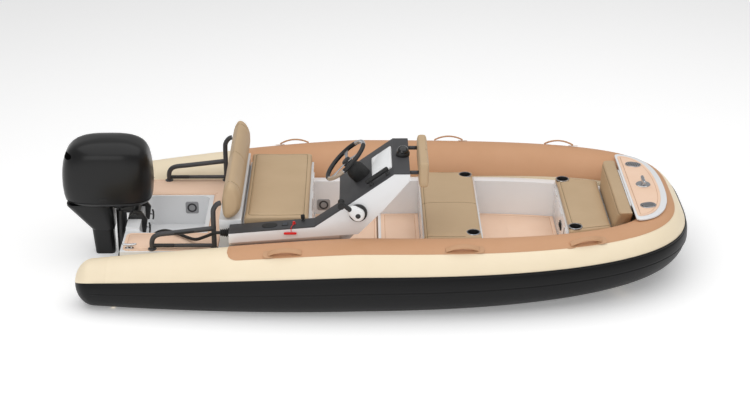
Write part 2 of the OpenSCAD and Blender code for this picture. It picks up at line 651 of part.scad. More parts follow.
// ---- outboard engine ----
pin_r = 14;
plate_y = 98;
module clamp_bracket() {
    color("#1c1c1c") {
        mirrored_y() {
            difference() {
                prism_y(plate_y, plate_y + 18, [[-1760, -70], [-1650.3, -90], [-1650.3, 290.3],
                    [-1559.7, 290.3], [-1559.7, 190], [-1535, 190], [-1520, 285], [-1560, 345],
                    [-1610, 350], [-1640, 320],
                    [-1700, 150]]);
                translate([tilt_x, plate_y - 1, tilt_z]) rotate([-90, 0, 0]) cylinder(r = pin_r - 2, h = 1);
            }
        }
        translate([tilt_x, -plate_y - 18, tilt_z]) rotate([-90, 0, 0])
            cylinder(r = pin_r, h = 2 * plate_y + 36);
    }
}
swivel_r = 36;
pivot_r = 18;
module swivel_bracket() {
    color("#1c1c1c") difference() {
        union() {
            translate([steer_x, 0, -60]) cylinder(r = swivel_r, h = 375);
            translate([tilt_x, -86, tilt_z]) rotate([-90, 0, 0]) cylinder(r = 26, h = 172);
            block([steer_x, -30, 300], [tilt_x, 30, 340]);
        }
        translate([steer_x, 0, -61]) cylinder(r = pivot_r + run, h = 420);
        translate([tilt_x, -90, tilt_z]) rotate([-90, 0, 0]) cylinder(r = pin_r + run, h = 180);
    }
}
prop_x = -1975;
prop_z = -345;
shaft_prop_r = 12;
module fin(half, outline) { prism_y(-half, half, outline); }
module outboard_leg() {
    color("#202022") {
        // lower cover, which narrows from the engine cover down to the leg
        hull() {
            plate(-2060, -1760, -140, 140, 385, 400 - gap, 60);
            plate(-1910, -1755, -75, 75, 190, 195, 40);
        }
        plate(-1762, steer_x + 40, -60, 60, 345, 372, 40);
        hull() {
            plate(-1910, -1765, -70, 70, 180, 191, 40);
            plate(-1890, -1765, -35, 35, -90, -80, 20);
        }
        translate([steer_x, 0, -95]) cylinder(r = pivot_r, h = 445);
        block([-1775, -30, -100], [steer_x + 26, 30, -66]);
        plate(-2010, -1770, -70, 70, -100, -88, 40);
        fin(22, [[-1885, -100], [-1770, -100], [-1760, -330], [-1900, -330]]);
        plate(-2020, -1735, -115, 115, -176, -166, 50);
        fin(5, [[-1835, -370], [-1700, -370], [-1740, -skeg_depth + 40], [-1780, -skeg_depth],
            [-1835, -skeg_depth]]);
        translate([-1700, 0, prop_z]) rotate([0, -90, 0]) cylinder(r = 48, h = 225);
        translate([-1700, 0, prop_z]) rotate([0, 90, 0]) cylinder(r1 = 48, r2 = 8, h = 65);
        translate([-1920, 0, prop_z]) rotate([0, -90, 0]) cylinder(r = shaft_prop_r, h = 150);
    }
}
module powerhead() { color("#8a8a8a") block([-1980, -110, 400], [-1600, 110, 740]); }
// x aft, x forward and half width, going up
cowl_rings = [[400, -2045, -1505, 0.84], [425, -2072, -1490, 0.93], [520, -2085, -1480, 1],
    [640, -2084, -1480, 1], [735, -2068, -1494, 0.97], [790, -2035, -1522, 0.88],
    [825, -1980, -1570, 0.72], [846, -1900, -1640, 0.46]];
function cowl_ring(s, off) = let (cx = (s[1] + s[2]) / 2, rx = (s[2] - s[1]) / 2 - off,
    ry = s[3] * cowl_half_y - off, e = 2 / 3.2)
    [for (i = [0:31]) let (a = i * 360 / 32, c = cos(a), d = sin(a))
        [cx + rx * sign(c) * pow(abs(c), e), ry * sign(d) * pow(abs(d), e), s[0] + off / 10]];
module cowl() {
    color("#202022") difference() {
        skin(concat([for (s = cowl_rings) cowl_ring(s, 0)], [cowl_ring([cowl_top, -1850, -1690, 0.25], 0)]));
        skin([for (s = [[398, -2045, -1505, 0.84], [520, -2085, -1480, 1], [700, -2076, -1486, 0.98],
            [780, -2035, -1522, 0.86]]) cowl_ring(s, 8)]);
    }
}
blades = 3;
module propeller() {
    color("#202022") translate([prop_x, 0, prop_z]) rotate([0, 90, 0]) difference() {
        union() {
            translate([0, 0, -48]) cylinder(r = 46, h = 96);
            for (i = [0:blades - 1]) rotate([0, 0, i * 360 / blades]) hull() {
                rotate([0, 0, 8]) translate([40, -4, -36]) cube([4, 7, 12]);
                rotate([0, 0, -8]) translate([40, -4, 24]) cube([4, 7, 12]);
                rotate([0, 0, 24]) translate([prop_d / 2 - 50, 0, -34]) cube([30, 3, 8]);
                rotate([0, 0, -20]) translate([prop_d / 2 - 50, 0, 26]) cube([30, 3, 8]);
                translate([prop_d / 2 - 6, 0, -6]) cube([5, 3, 12]);
            }
        }
        translate([0, 0, -49]) cylinder(r = shaft_prop_r + run, h = 98);
    }
}

hull_shell();
deck_liner();
cockpit_mat();
aft_deck_mat();
tube_port();
tube_starboard();
tube_bow();
rubbing_strake();
tube_wrap();
tube_handles();
stern_rails();
helm_backrest();
helm_seat_box();
helm_seat_lid();
helm_seat_cushion();
mid_seat_box();
mid_seat_lid();
mid_seat_cushion();
mid_cup_holders();
bow_locker();
bow_seat_lid();
bow_seat_cushion();
bow_cup_holders();
locker_latch();
bow_backrest();
bow_deck();
bow_deck_mat();
deck_fittings();
access_plates();
console_body();
console_trim();
display();
dash_fittings();
throttle();
kill_switch();
kill_lanyard();
kill_tag();
bolster_bars();
bolster();
steering_wheel();
cable_boots();
rigging_hose();
clamp_bracket();
swivel_bracket();
outboard_leg();
powerhead();
cowl();
propeller();
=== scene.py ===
import math

import bmesh
import bpy
import numpy as np
from mathutils import Matrix, Vector
from mathutils.bvhtree import BVHTree


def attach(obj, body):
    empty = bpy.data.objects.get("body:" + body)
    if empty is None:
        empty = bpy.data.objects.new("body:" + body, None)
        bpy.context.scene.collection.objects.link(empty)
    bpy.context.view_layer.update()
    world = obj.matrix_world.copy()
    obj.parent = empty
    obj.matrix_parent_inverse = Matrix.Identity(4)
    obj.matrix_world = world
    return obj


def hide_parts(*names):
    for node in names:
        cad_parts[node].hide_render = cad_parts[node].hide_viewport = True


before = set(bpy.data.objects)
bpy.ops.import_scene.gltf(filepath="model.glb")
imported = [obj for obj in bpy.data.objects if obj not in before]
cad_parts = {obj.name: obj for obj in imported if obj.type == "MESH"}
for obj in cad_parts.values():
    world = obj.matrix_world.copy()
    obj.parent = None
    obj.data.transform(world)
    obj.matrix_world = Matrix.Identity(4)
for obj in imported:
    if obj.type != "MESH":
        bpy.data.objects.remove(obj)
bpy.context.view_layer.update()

scene = bpy.context.scene
scene.view_settings.view_transform = "Standard"
pi = math.pi

# ---- Camera ----
# A long lens off the starboard side and above the boat, as in a maker's catalogue, tipped
# 24 degrees down.
camera = bpy.data.cameras.new("camera")
camera.lens = 82.0
camera.sensor_width = 36.0
camera.clip_end = 200.0
eye = bpy.data.objects.new("camera", camera)
scene.collection.objects.link(eye)
pitch, yaw = math.radians(24.47), math.radians(0.556)
look = Vector((math.sin(yaw) * math.cos(pitch), math.cos(yaw) * math.cos(pitch), -math.sin(pitch)))
eye.location = (-0.088, -10.580, 5.128)
eye.rotation_euler = look.to_track_quat("-Z", "Y").to_euler()
scene.camera = eye


# ---- Kill-switch lanyard ----
# A short red cord of plastic-coated steel wire. It is moulded to its plug in the switch, hooks
# over the edge of the console and ends at a closed-cell foam float.
def linear(code):
    """An sRGB hex colour as the linear RGBA that a shader socket takes."""
    parts = [int(code[i:i + 2], 16) / 255 for i in (1, 3, 5)]
    return [c / 12.92 if c <= 0.04045 else ((c + 0.055) / 1.055) ** 2.4 for c in parts] + [1.0]


def feed(mat, node, **inputs):
    """Sets a node's inputs to values, or links them to sockets or to nodes' first outputs. They go
    by socket name with underscores for spaces, or by number as i0, i1 and so on."""
    for key, value in inputs.items():
        by_number = key[0] == "i" and key[1:].isdigit()
        socket = node.inputs[int(key[1:])] if by_number else node.inputs[key.replace("_", " ")]
        if isinstance(value, bpy.types.Node):
            value = value.outputs[0]
        if isinstance(value, bpy.types.NodeSocket):
            mat.node_tree.links.new(value, socket)
        else:
            socket.default_value = value


def add(mat, kind, settings=None, **inputs):
    """Adds a shader node. settings are its own properties, and inputs are fed to it."""
    made = mat.node_tree.nodes.new("ShaderNode" + kind)
    for key, value in (settings or {}).items():
        setattr(made, key, value)
    feed(mat, made, **inputs)
    return made


def new_material(name, colour, roughness, metallic=0.0, ior=1.45, **more):
    """A material of one principled surface, and that surface's node."""
    mat = bpy.data.materials.new(name)
    mat.use_nodes = True
    shader = mat.node_tree.nodes["Principled BSDF"]
    values = {"Base_Color": linear(colour), "Roughness": roughness, "Metallic": metallic, **more}
    if not metallic:
        values["IOR"] = ior
    feed(mat, shader, **values)
    return mat, shader


def mesh_piece(name, verts, faces, mats, body="boat", slot=None, uv=None, hard=35):
    """A piece from points and faces, riding on a body. Edges sharper than hard degrees stay
    crisp."""
    mesh = bpy.data.meshes.new(name)
    mesh.from_pydata([tuple(v) for v in verts], [], faces)
    mesh.update()
    if uv:
        layer = mesh.uv_layers.new(name="metres")
        girth = uv[-1][1]
        for face in mesh.polygons:
            own = [uv[v] for v in face.vertices]
            wraps = max(p[1] for p in own) - min(p[1] for p in own) > 0.5 * girth > 0
            for loop, p in zip(face.loop_indices, own):
                layer.data[loop].uv = (p[0], p[1] + (girth if wraps and p[1] < 0.25 * girth else 0))
    bm = bmesh.new()
    bm.from_mesh(mesh)
    bmesh.ops.recalc_face_normals(bm, faces=bm.faces)
    bm.to_mesh(mesh)
    bm.free()
    mesh.shade_smooth()
    if hard:
        mesh.set_sharp_from_angle(angle=math.radians(hard))
    for mat in mats if isinstance(mats, list) else [mats]:
        mesh.materials.append(mat)
    made = bpy.data.objects.new(name, mesh)
    scene.collection.objects.link(made)
    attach(made, body)
    return made


def loft(rings, closed=True, caps=True):
    """Points, faces and a map in metres for a skin over rings of equal length."""
    count = len(rings[0])
    verts = [Vector(p) for ring in rings for p in ring]
    faces, uv, along = [], [], 0.0
    for j, ring in enumerate(rings):
        if j:
            along += (Vector(ring[0]) - Vector(rings[j - 1][0])).length
        across = 0.0
        for i in range(count):
            if i:
                across += (Vector(ring[i]) - Vector(ring[i - 1])).length
            uv.append((along, across))
    for j in range(len(rings) - 1):
        for i in range(count if closed else count - 1):
            k = (i + 1) % count
            faces.append((j * count + i, (j + 1) * count + i, (j + 1) * count + k, j * count + k))
    if caps:
        faces.append(tuple(range(count)))
        faces.append(tuple(range(len(verts) - 1, len(verts) - 1 - count, -1)))
    return verts, faces, uv


def smooth_path(points, steps=8, closed=False):
    """A Catmull-Rom line through points."""
    pts = [Vector(p) for p in points]
    n = len(pts)
    out = []
    for i in range(n if closed else n - 1):
        p1, p2 = pts[i], pts[(i + 1) % n]
        p0 = pts[i - 1] if closed or i else p1 - (p2 - p1)
        p3 = pts[(i + 2) % n] if closed or i + 2 < n else p2 + (p2 - p1)
        for s in range(steps):
            t = s / steps
            out.append(0.5 * (2 * p1 + (p2 - p0) * t + (2 * p0 - 5 * p1 + 4 * p2 - p3) * t * t
                + (3 * p1 - p0 - 3 * p2 + p3) * t ** 3))
    return out if closed else out + [pts[-1]]


def pipe_rings(path, radius, sides=12):
    """Rings round a path that don't twist. radius is one number or one for each point."""
    rings, normal = [], None
    for i, p in enumerate(path):
        d = (path[min(i + 1, len(path) - 1)] - path[max(i - 1, 0)]).normalized()
        normal = d.orthogonal() if normal is None else normal - d * normal.dot(d)
        normal.normalize()
        side = d.cross(normal)
        r = radius[i] if isinstance(radius, list) else radius
        rings.append([p + r * (math.cos(2 * pi * k / sides) * normal + math.sin(2 * pi * k / sides)
            * side) for k in range(sides)])
    return rings


def pipe(name, path, radius, mat, sides=12, **more):
    """A round bar, hose or cord along a path, with slightly rounded ends where it has room."""
    path = [Vector(p) for p in path]
    radii = list(radius) if isinstance(radius, list) else [radius] * len(path)
    for end, near in ((0, 1), (-1, -2)):
        r = radii[end]
        ahead = (path[end] - path[near]).normalized()
        tips = [(path[end] - ahead * r * 0.30, r), (path[end] - ahead * r * 0.09, r * 0.86),
            (path[end], r * 0.6)]
        if (path[end] - path[near]).length <= r * 0.4:
            continue
        if end == 0:
            tips.reverse()
        points, sizes = [t[0] for t in tips], [t[1] for t in tips]
        path = points + path[1:] if end == 0 else path[:-1] + points
        radii = sizes + radii[1:] if end == 0 else radii[:-1] + sizes
    return mesh_piece(name, *loft(pipe_rings(path, radii, sides))[:2], mat, **more)


# PVC jacket on the wire: glossy, deep red, the light goes a little way in
red_jacket, _ = new_material("red_pvc_jacket", "#d9231f", 0.35, ior=1.52)
lanyard_points = [(-0.511, -0.652, 0.506), (-0.513, -0.664, 0.505), (-0.517, -0.677, 0.503),
    (-0.522, -0.690, 0.503), (-0.526, -0.701, 0.500), (-0.528, -0.707, 0.492),
    (-0.528, -0.709, 0.482), (-0.528, -0.709, 0.472)]
lanyard_line = smooth_path(lanyard_points, 4)
lanyard = mesh_piece("lanyard_cord", *loft(pipe_rings(lanyard_line, 0.0025, 10))[:2], red_jacket,
    slot="red_plastic")
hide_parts("kill_lanyard")


def grained(mat, shader, scale, strength, depth, texture="Noise", **more):
    """Gives a surface a fine even relief, such as pits, orange peel or an emboss."""
    place = add(mat, "TexCoord").outputs["Object"]
    relief = add(mat, "Tex" + texture, Vector=place, Scale=scale, **more)
    bump = add(mat, "Bump", Height=relief, Strength=strength, Distance=depth)
    feed(mat, shader, Normal=bump)


# Cross-linked foam float, dull and finely pitted, bored for the cord and held by its knot
red_foam, foam_shader = new_material("red_closed_cell_foam", "#dc2422", 0.62, ior=1.4)
grained(red_foam, foam_shader, 900.0, 0.25, 0.001, Detail=2.0)
lanyard_float = pipe("lanyard_float", [(-0.575 + 0.082 * k / 12, -0.7086, 0.459)
    for k in range(13)], [0.0066, 0.0074, 0.0078] + [0.008] * 7 + [0.0078, 0.0074, 0.0066],
    red_foam, sides=24, slot="red_plastic")
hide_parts("kill_tag")


# ---- Buoyancy tubes ----
# Two side chambers and a bow chamber of PVC-coated polyester, cream above the rubbing strake and
# black below it, blown up hard. Panels are welded with overlaps, and the stern ends are domed.
def within(v):
    """A number held between 0 and 1."""
    return max(0.0, min(1.0, v))


# The tubes are fullest at mid_x and thin out over a run to each end
mid_x, bow_run, stern_run = -0.100, 2.024, 1.815
stern_mid_x = -1.915
run_start_x, bow_start_x, bow_reach = -1.795, 0.160, 1.764
side_y, stern_y = 0.830, 0.755


def tube_z(x):
    """Height of the tube's middle."""
    bow_rise = 0.062 * within((x - mid_x) / bow_run) ** 2.2
    return 0.220 + bow_rise - 0.077 * within((mid_x - x) / stern_run) ** 1.1


def tube_r(x):
    """Radius of the tube."""
    stern_loss = 0.088 * within((mid_x - x) / stern_run) ** 1.6
    return 0.232 - stern_loss - 0.056 * within((x - mid_x) / bow_run) ** 1.5


def side_at(x):
    """Middle of the port tube where it runs fore and aft."""
    f = within((x - stern_mid_x) / stern_run)
    return Vector((x, stern_y + 0.075 * f * (2 - f), tube_z(x)))


def bow_at(angle):
    """Middle of the tube round the bow, from 0 degrees to port to 180 to starboard."""
    swing = math.radians(min(angle, 180 - angle))
    x = bow_start_x + bow_reach * math.sin(swing) ** 0.78
    y = side_y * max(0.0, math.cos(swing)) ** 0.55
    return Vector((x, y if angle <= 90 else -y, tube_z(x)))


def side_station(x):
    """Middle, direction and radius of the port tube where it runs fore and aft."""
    ahead = side_at(x + 0.005) - side_at(x - 0.005)
    return side_at(x), ahead.normalized(), tube_r(x)


def bow_station(angle):
    """Middle, direction and radius of the tube at an angle round the bow."""
    here = bow_at(angle)
    low, high = max(angle - 0.3, 0.01), min(angle + 0.3, 179.99)
    return here, (bow_at(high) - bow_at(low)).normalized(), tube_r(here.x)


def to_starboard(station):
    """The same station on the starboard side."""
    p, d, r = station
    return Vector((p.x, -p.y, p.z)), Vector((-d.x, d.y, -d.z)), r


def on_tube(station, angle, off=0.0):
    """A point off the tube's skin, at an angle from its outboard side, over its top."""
    p, d, r = station
    out = -d.cross(Vector((0, 0, 1))).normalized()
    a = math.radians(angle)
    return p + (r + off) * (math.cos(a) * out + math.sin(a) * d.cross(out))


def dome(angle):
    """A station on the domed stern end, from 90 degrees at its tip to 0 at its root."""
    p, d, r = side_station(run_start_x)
    return p - Vector((0.120 * math.sin(math.radians(angle)), 0,
        0)), d, r * math.cos(math.radians(angle))


straight = [side_station(run_start_x + 1.955 * k / 65) for k in range(66)]
bow_angles = [0.2, 0.6, 1.2, 2.0, 3.0, 4.0] + [5 + 1.5 * k for k in range(53)]
bow_angles += [84.2, 85.3, 86.3, 87.2, 88.0, 88.7, 89.3, 89.7]
port_bow = [bow_station(a) for a in bow_angles]
whole_run = straight + port_bow + [bow_station(90)] + [to_starboard(s)
    for s in reversed(straight + port_bow)]
split = len(straight) + bow_angles.index(50.0)


# What a Mix node is set to for colours, and the metres between the bands of a wave texture
# of scale 1
rgba = {"data_type": "RGBA"}
wave_run = 0.314


def coated_cloth(name, colour, shade, roughness, thread, depth):
    """PVC-coated polyester: a satin skin that shows the cloth inside it as a faint grid. The real
    threads lie 0.9 mm apart and are drawn 4 mm apart or more, or they would be too fine to show."""
    mat, shader = new_material(name, colour, roughness, ior=1.53)
    uv = add(mat, "UVMap")
    scale = wave_run / thread
    warp = add(mat, "TexWave", {"bands_direction": "X"}, Vector=uv, Scale=scale, Distortion=0.4)
    weft = add(mat, "TexWave", {"bands_direction": "Y"}, Vector=uv, Scale=scale, Distortion=0.4)
    grid = add(mat, "Math", {"operation": "MULTIPLY"}, i0=warp.outputs["Fac"],
        i1=weft.outputs["Fac"])
    cloud = add(mat, "TexNoise", Vector=uv, Scale=3.0, Detail=4.0, Roughness=0.6)
    tint = add(mat, "Mix", rgba, Factor=cloud, i6=linear(colour), i7=linear(shade))
    bump = add(mat, "Bump", Height=grid, Strength=0.35, Distance=depth)
    gloss = add(mat, "MapRange", Value=cloud, To_Min=roughness - 0.06, To_Max=roughness + 0.08)
    feed(mat, shader, Base_Color=tint.outputs[2], Normal=bump, Roughness=gloss)
    return mat


# Cream skin with a soft sheen; the black skin is the same cloth and gives back less light
cream_pvc = coated_cloth("cream_coated_polyester", "#ffefd2", "#f8e6c5", 0.42, 0.004, 0.0004)
black_pvc = coated_cloth("black_coated_polyester", "#0f0f10", "#161617", 0.44, 0.004, 0.0004)
black_pvc.node_tree.nodes["Principled BSDF"].inputs["Specular IOR Level"].default_value = 0.22


def chamber(name, stations, node):
    """One air chamber. The skin changes from cream to black at the strake's upper edge."""
    sides = 48
    rings = [[on_tube(s, 7.5 * k) for k in range(sides)] for s in stations]
    verts, faces, uv = loft(rings)
    piece = mesh_piece(name, verts, faces, [cream_pvc, black_pvc], slot="cream_fabric", uv=uv,
        hard=60)
    for face in piece.data.polygons:
        k = min(face.vertices) % sides
        if len(face.vertices) == 4 and (25 <= k or k < 3):
            face.material_index = 1
    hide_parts(node)
    return piece


domed = [dome(a) for a in (89.5, 88, 85, 81, 76, 70, 63, 56, 48, 40, 32, 24, 16, 8)]
port_side = domed + straight + port_bow[:split - len(straight) + 1]
chamber("tube_port_skin", port_side, "tube_port")
chamber("tube_starboard_skin", [to_starboard(s) for s in reversed(port_side)], "tube_starboard")
chamber("tube_bow_skin", whole_run[split:len(whole_run) - split], "tube_bow")

# Overlap welds where panels and chambers meet: a strip of the same cloth, 30 mm wide
for number, middle in enumerate((4, split, len(whole_run) - 1 - split, len(whole_run) - 5)):
    p, d, r = whole_run[middle]
    rings = []
    for along, lift in ((-0.016, 0.0), (-0.015, 0.0008), (0.015, 0.0008), (0.016, 0.0)):
        rings.append([on_tube((p + d * along, d, r), 22.5 + 7.5 * k, lift) for k in range(38)])
    verts, faces, uv = loft(rings, closed=False, caps=False)
    mesh_piece("weld_strip_%d" % number, verts, faces, cream_pvc, slot="cream_fabric", uv=uv)


# ---- Rubbing strake ----
# Extruded black PVC fendering glued round the tubes at their widest: a flat face between two
# raised ribs, with a groove beside each rib.

# Semi-gloss extruded PVC with fine lines drawn along it by the die
strake_pvc, strake_shader = new_material("extruded_black_pvc", "#101011", 0.42, ior=1.53,
    Specular_IOR_Level=0.22)
uv = add(strake_pvc, "UVMap")
die = add(strake_pvc, "TexWave", {"bands_direction": "Y"}, Vector=uv, Scale=wave_run / 0.005,
    Distortion=1.5, Detail=2.0)
feed(strake_pvc, strake_shader, Normal=add(strake_pvc, "Bump", Height=die.outputs["Fac"],
    Strength=0.2, Distance=0.0004))
strake_profile = [(-7.4, 0.3), (-7.3, 3.2), (-6.9, 5.4), (-6.0, 6.3), (-5.0, 6.0), (-4.2, 4.6),
    (-3.6, 3.4), (-2.9, 3.4), (-2.2, 4.8), (0, 5.2), (4, 5.6), (7.5, 5.7), (11, 5.6), (15, 5.2),
    (17.2, 4.8), (17.9, 3.4), (18.6, 3.4), (19.2, 4.6), (20.0, 6.0), (21.0, 6.3), (21.9, 5.4),
    (22.3, 3.2), (22.4, 0.3)]
rings = []
for number, station in enumerate(whole_run):
    thin = 0.25 + 0.75 * min(1.0, min(number, len(whole_run) - 1 - number) / 2)
    rings.append([on_tube(station, a, 0.001 * max(0.3, h * thin)) for a, h in strake_profile])
verts, faces, uv = loft(rings)
strake = mesh_piece("strake_fendering", verts, faces, strake_pvc, slot="black_strake", uv=uv)
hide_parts("rubbing_strake")


# ---- Tube cover ----
# A tan anti-slip cover over the top and the inner side of the tubes, cut with rounded aft corners
# and glued down.
tan_cover = coated_cloth("tan_anti_slip_pvc", "#d5a37c", "#cb986f", 0.56, 0.006, 0.0007)
cover_run = [side_station(-0.920 + 0.012 * k) for k in range(7)]
cover_run += [s for s in straight if s[0].x > -0.845] + port_bow
cover_run += [bow_station(90)] + [to_starboard(s) for s in reversed(cover_run)]
cover_outline = [0.0]
for a, b in zip(cover_run, cover_run[1:]):
    cover_outline.append(cover_outline[-1] + (b[0] - a[0]).length)
corner = 0.070
rings = []
for station, along in zip(cover_run, cover_outline):
    from_end = min(along, cover_outline[-1] - along)
    inset = corner - math.sqrt(max(0.0, corner ** 2 - max(0.0, corner - from_end) ** 2))
    low = 60.2 + math.degrees(inset / station[2])
    high = 164.8 - math.degrees(inset / station[2])
    top = [low + (high - low) * k / 26 for k in range(27)]
    ring = [on_tube(station, a, 0.0033) for a in top[1:-1]]
    ring = [on_tube(station, low, 0.0004), on_tube(station, low, 0.0022)] + ring
    ring += [on_tube(station, high, 0.0022), on_tube(station, high, 0.0004)]
    rings.append(ring + [on_tube(station, a, 0.0003) for a in reversed(top[1:-1])])
verts, faces, uv = loft(rings)
cover = mesh_piece("tube_cover_sheet", verts, faces, tan_cover, slot="tan_cover", uv=uv)
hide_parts("tube_wrap")


# ---- Tube handles ----
# Six lifting handles: a moulded loop of tan PVC over webbing, its two feet glued to the cover
# with shaped patches.
tan_moulding, tan_shader = new_material("moulded_tan_pvc", "#c99b74", 0.5, ior=1.53)
grained(tan_moulding, tan_shader, 400.0, 0.15, 0.0006, Detail=3.0)
handle_length, handle_rise, handle_angle = 0.200, 0.026, 68
handle_radius = (handle_length ** 2 / 4 + handle_rise ** 2) / (2 * handle_rise)
handle_half = math.asin(handle_length / 2 / handle_radius)
handle_pieces = []
for station in (side_station(-0.551), bow_station(8.5), bow_station(36.5)):
    for side in (station, to_starboard(station)):
        p, d, r = side
        up = (on_tube(side, handle_angle, 1) - on_tube(side, handle_angle, 0)).normalized()
        across = up.cross(d)
        middle = on_tube(side, handle_angle, 0.0039 + handle_rise - handle_radius)
        rings = []
        for k in range(25):
            a = handle_half * (k / 12 - 1)
            out = math.cos(a) * up + math.sin(a) * d
            place = middle + handle_radius * out
            width = 0.0185 + 0.0015 * abs(k / 12 - 1) ** 4
            shape = [(-width, 0.003), (-width, 0.008), (-width + 0.003, 0.0105), (-0.006, 0.0115),
                (0.006, 0.0115), (width - 0.003, 0.0105), (width, 0.008), (width, 0.003),
                (width - 0.004, 0), (-width + 0.004, 0)]
            rings.append([place + across * w + out * h for w, h in shape])
        name = "handle_%d" % len(handle_pieces)
        handle_pieces.append(mesh_piece(name + "_loop", *loft(rings)[:2], tan_moulding,
            slot="webbing"))
        for end in (-1, 1):
            rings = []
            for k in range(13):
                away = 0.034 * math.cos(pi * k / 12)
                wide = 0.031 * (1 - abs(away / 0.0345) ** 3.5) ** (1 / 3.5)
                foot = (p + d * (end * (handle_length / 2 + 0.004) + away), d, r)
                spread = [handle_angle + math.degrees(wide * (j / 5 - 1) / r) for j in range(11)]
                ring = [on_tube(foot, spread[0], 0.0036)] + [on_tube(foot, a, 0.0056)
                    for a in spread[1:-1]]
                rings.append(ring + [on_tube(foot, spread[-1], 0.0036)])
            handle_pieces.append(mesh_piece(name + ("_aft" if end < 0 else "_fore") + "_patch",
                *loft(rings, closed=False, caps=False)[:2], tan_moulding, slot="webbing"))
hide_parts("tube_handles")


# ---- Hull and deck mouldings ----
# Two glass-reinforced plastic mouldings bonded together: a black hull with a deep V, and a white
# deck with the coaming, the motor well and the cockpit. Corners are rounded in the moulds.
def bevel(bm, edges, offset, steps):
    """Rounds edges to a radius."""
    bmesh.ops.bevel(bm, geom=edges, offset=offset, offset_type="OFFSET", segments=steps,
        profile=0.5, affect="EDGES", clamp_overlap=True)


def plain_solid(node, corners):
    """A plain solid's mesh to work on, with the upright edges of its outline rounded."""
    bm = bmesh.new()
    bm.from_mesh(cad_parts[node].data)
    bmesh.ops.remove_doubles(bm, verts=bm.verts, dist=0.00005)
    bmesh.ops.dissolve_limit(bm, angle_limit=math.radians(0.6), verts=bm.verts, edges=bm.edges)
    if corners:
        upright = [e for e in bm.edges if abs((e.verts[0].co - e.verts[1].co).normalized().z) >
            0.99]
        bevel(bm, upright, corners, 6)
    return bm


def finished(bm, node, name, mats, sharp, body="boat"):
    """The piece that a worked mesh makes, standing in for its plain solid."""
    bmesh.ops.triangulate(bm, faces=[f for f in bm.faces if len(f.verts) > 4])
    mesh = bpy.data.meshes.new(name)
    bm.to_mesh(mesh)
    bm.free()
    mesh.shade_smooth()
    mesh.set_sharp_from_angle(angle=math.radians(sharp))
    for mat in mats:
        mesh.materials.append(mat)
    made = bpy.data.objects.new(name, mesh)
    scene.collection.objects.link(made)
    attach(made, body)
    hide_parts(node)
    return made


def moulding(node, name, mat, radius, body="boat", steps=3, sharp=28, corners=0.0):
    """A copy of a plain solid with its edges rounded to a radius, and its upright corners to
    another, standing in for it."""
    bm = plain_solid(node, corners)
    edges = [e for e in bm.edges if len(e.link_faces) == 2 and e.calc_face_angle(0) >
        math.radians(sharp)]
    bevel(bm, edges, radius, steps)
    return finished(bm, node, name, [mat], sharp, body)


def gelcoat(name, colour, shade, roughness):
    """Gelcoat sprayed in a polished mould: glossy, with the faint long ripple that the glass under
    it prints through."""
    mat, shader = new_material(name, colour, roughness, ior=1.52, Coat_Weight=0.35,
        Coat_Roughness=0.06)
    place = add(mat, "TexCoord").outputs["Object"]
    ripple = add(mat, "TexNoise", Vector=place, Scale=18.0, Detail=2.0)
    chalk = add(mat, "TexNoise", Vector=place, Scale=2.5, Detail=5.0, Roughness=0.65)
    tint = add(mat, "Mix", rgba, Factor=chalk, i6=linear(colour), i7=linear(shade))
    bump = add(mat, "Bump", Height=ripple, Strength=0.06, Distance=0.002)
    feed(mat, shader, Base_Color=tint.outputs[2], Normal=bump)
    return mat


white_gelcoat = gelcoat("white_gelcoat_grp", "#f3f4f5", "#ebecee", 0.22)
black_gelcoat = gelcoat("black_gelcoat_grp", "#161617", "#1e1e20", 0.20)
moulding("hull_shell", "hull_moulding", black_gelcoat, 0.006, sharp=20)
moulding("deck_liner", "deck_moulding", white_gelcoat, 0.008)


# ---- Foam deck covering ----
# Sheets of closed-cell EVA foam on the cockpit floor, the side decks and the bow, cut by router
# with a border groove and glued down.

# The brushed top is dull and shows a fine nap, and it is peach; the grooves are a darker peach,
# painted shade down in them
eva_foam, eva_shader = new_material("brushed_eva_foam", "#f0ccb0", 0.78, ior=1.4)
place = add(eva_foam, "TexCoord").outputs["Object"]
stretched = add(eva_foam, "Mapping", Vector=place, Scale=(60.0, 700.0, 300.0))
nap = add(eva_foam, "TexNoise", Vector=stretched, Scale=1.0, Detail=3.0)
mottle = add(eva_foam, "TexNoise", Vector=place, Scale=7.0, Detail=4.0)
tint = add(eva_foam, "Mix", rgba, Factor=mottle, i6=linear("#f8d8c0"), i7=linear("#f0ccb0"))
feed(eva_foam, eva_shader, Base_Color=tint.outputs[2], Normal=add(eva_foam, "Bump", Height=nap,
    Strength=0.3, Distance=0.0008))
painted_groove_shade, _ = new_material("routed_eva_groove_painted_shade", "#d3a583", 0.9, ior=1.4)


def foam_sheet(node, name, border, sheets, corners=0.0):
    """A foam covering with eased edges and a V groove a little in from them, on so many sheets."""
    bm = plain_solid(node, corners)

    def tops():
        return [f for f in bm.faces if f.normal.z > 0.95 and f.calc_area() > 0.002]

    bevel(bm, list({e for f in tops() for e in f.edges}), 0.0012, 2)
    # The groove's faces take the second material, whose darker colour is painted shade
    for wide, deep, number in ((border, 0.0, 0), (0.0016, -0.0013, 1), (0.0016, 0.0013, 1)):
        cuts = sorted(tops(), key=lambda f: -f.calc_area())[:sheets]
        inset = bmesh.ops.inset_region(bm, faces=cuts, thickness=wide, depth=deep,
            use_even_offset=True)
        for f in inset["faces"]:
            f.material_index = number
    return finished(bm, node, name, [eva_foam, painted_groove_shade], 25)


foam_sheet("cockpit_mat", "cockpit_foam", 0.024, 3)
foam_sheet("aft_deck_mat", "side_deck_foam", 0.018, 3)
foam_sheet("bow_deck_mat", "bow_deck_foam", 0.016, 1, corners=0.030)


# ---- Bow deck ----
# A white moulded cap over the bow chamber, with a rounded nose, and a foam inlay on it. Under its
# aft edge a bulkhead closes the space behind the bow backrest.
moulding("bow_deck", "bow_deck_moulding", white_gelcoat, 0.005, corners=0.036)
moulding("bow_locker", "bow_locker_moulding", white_gelcoat, 0.004)


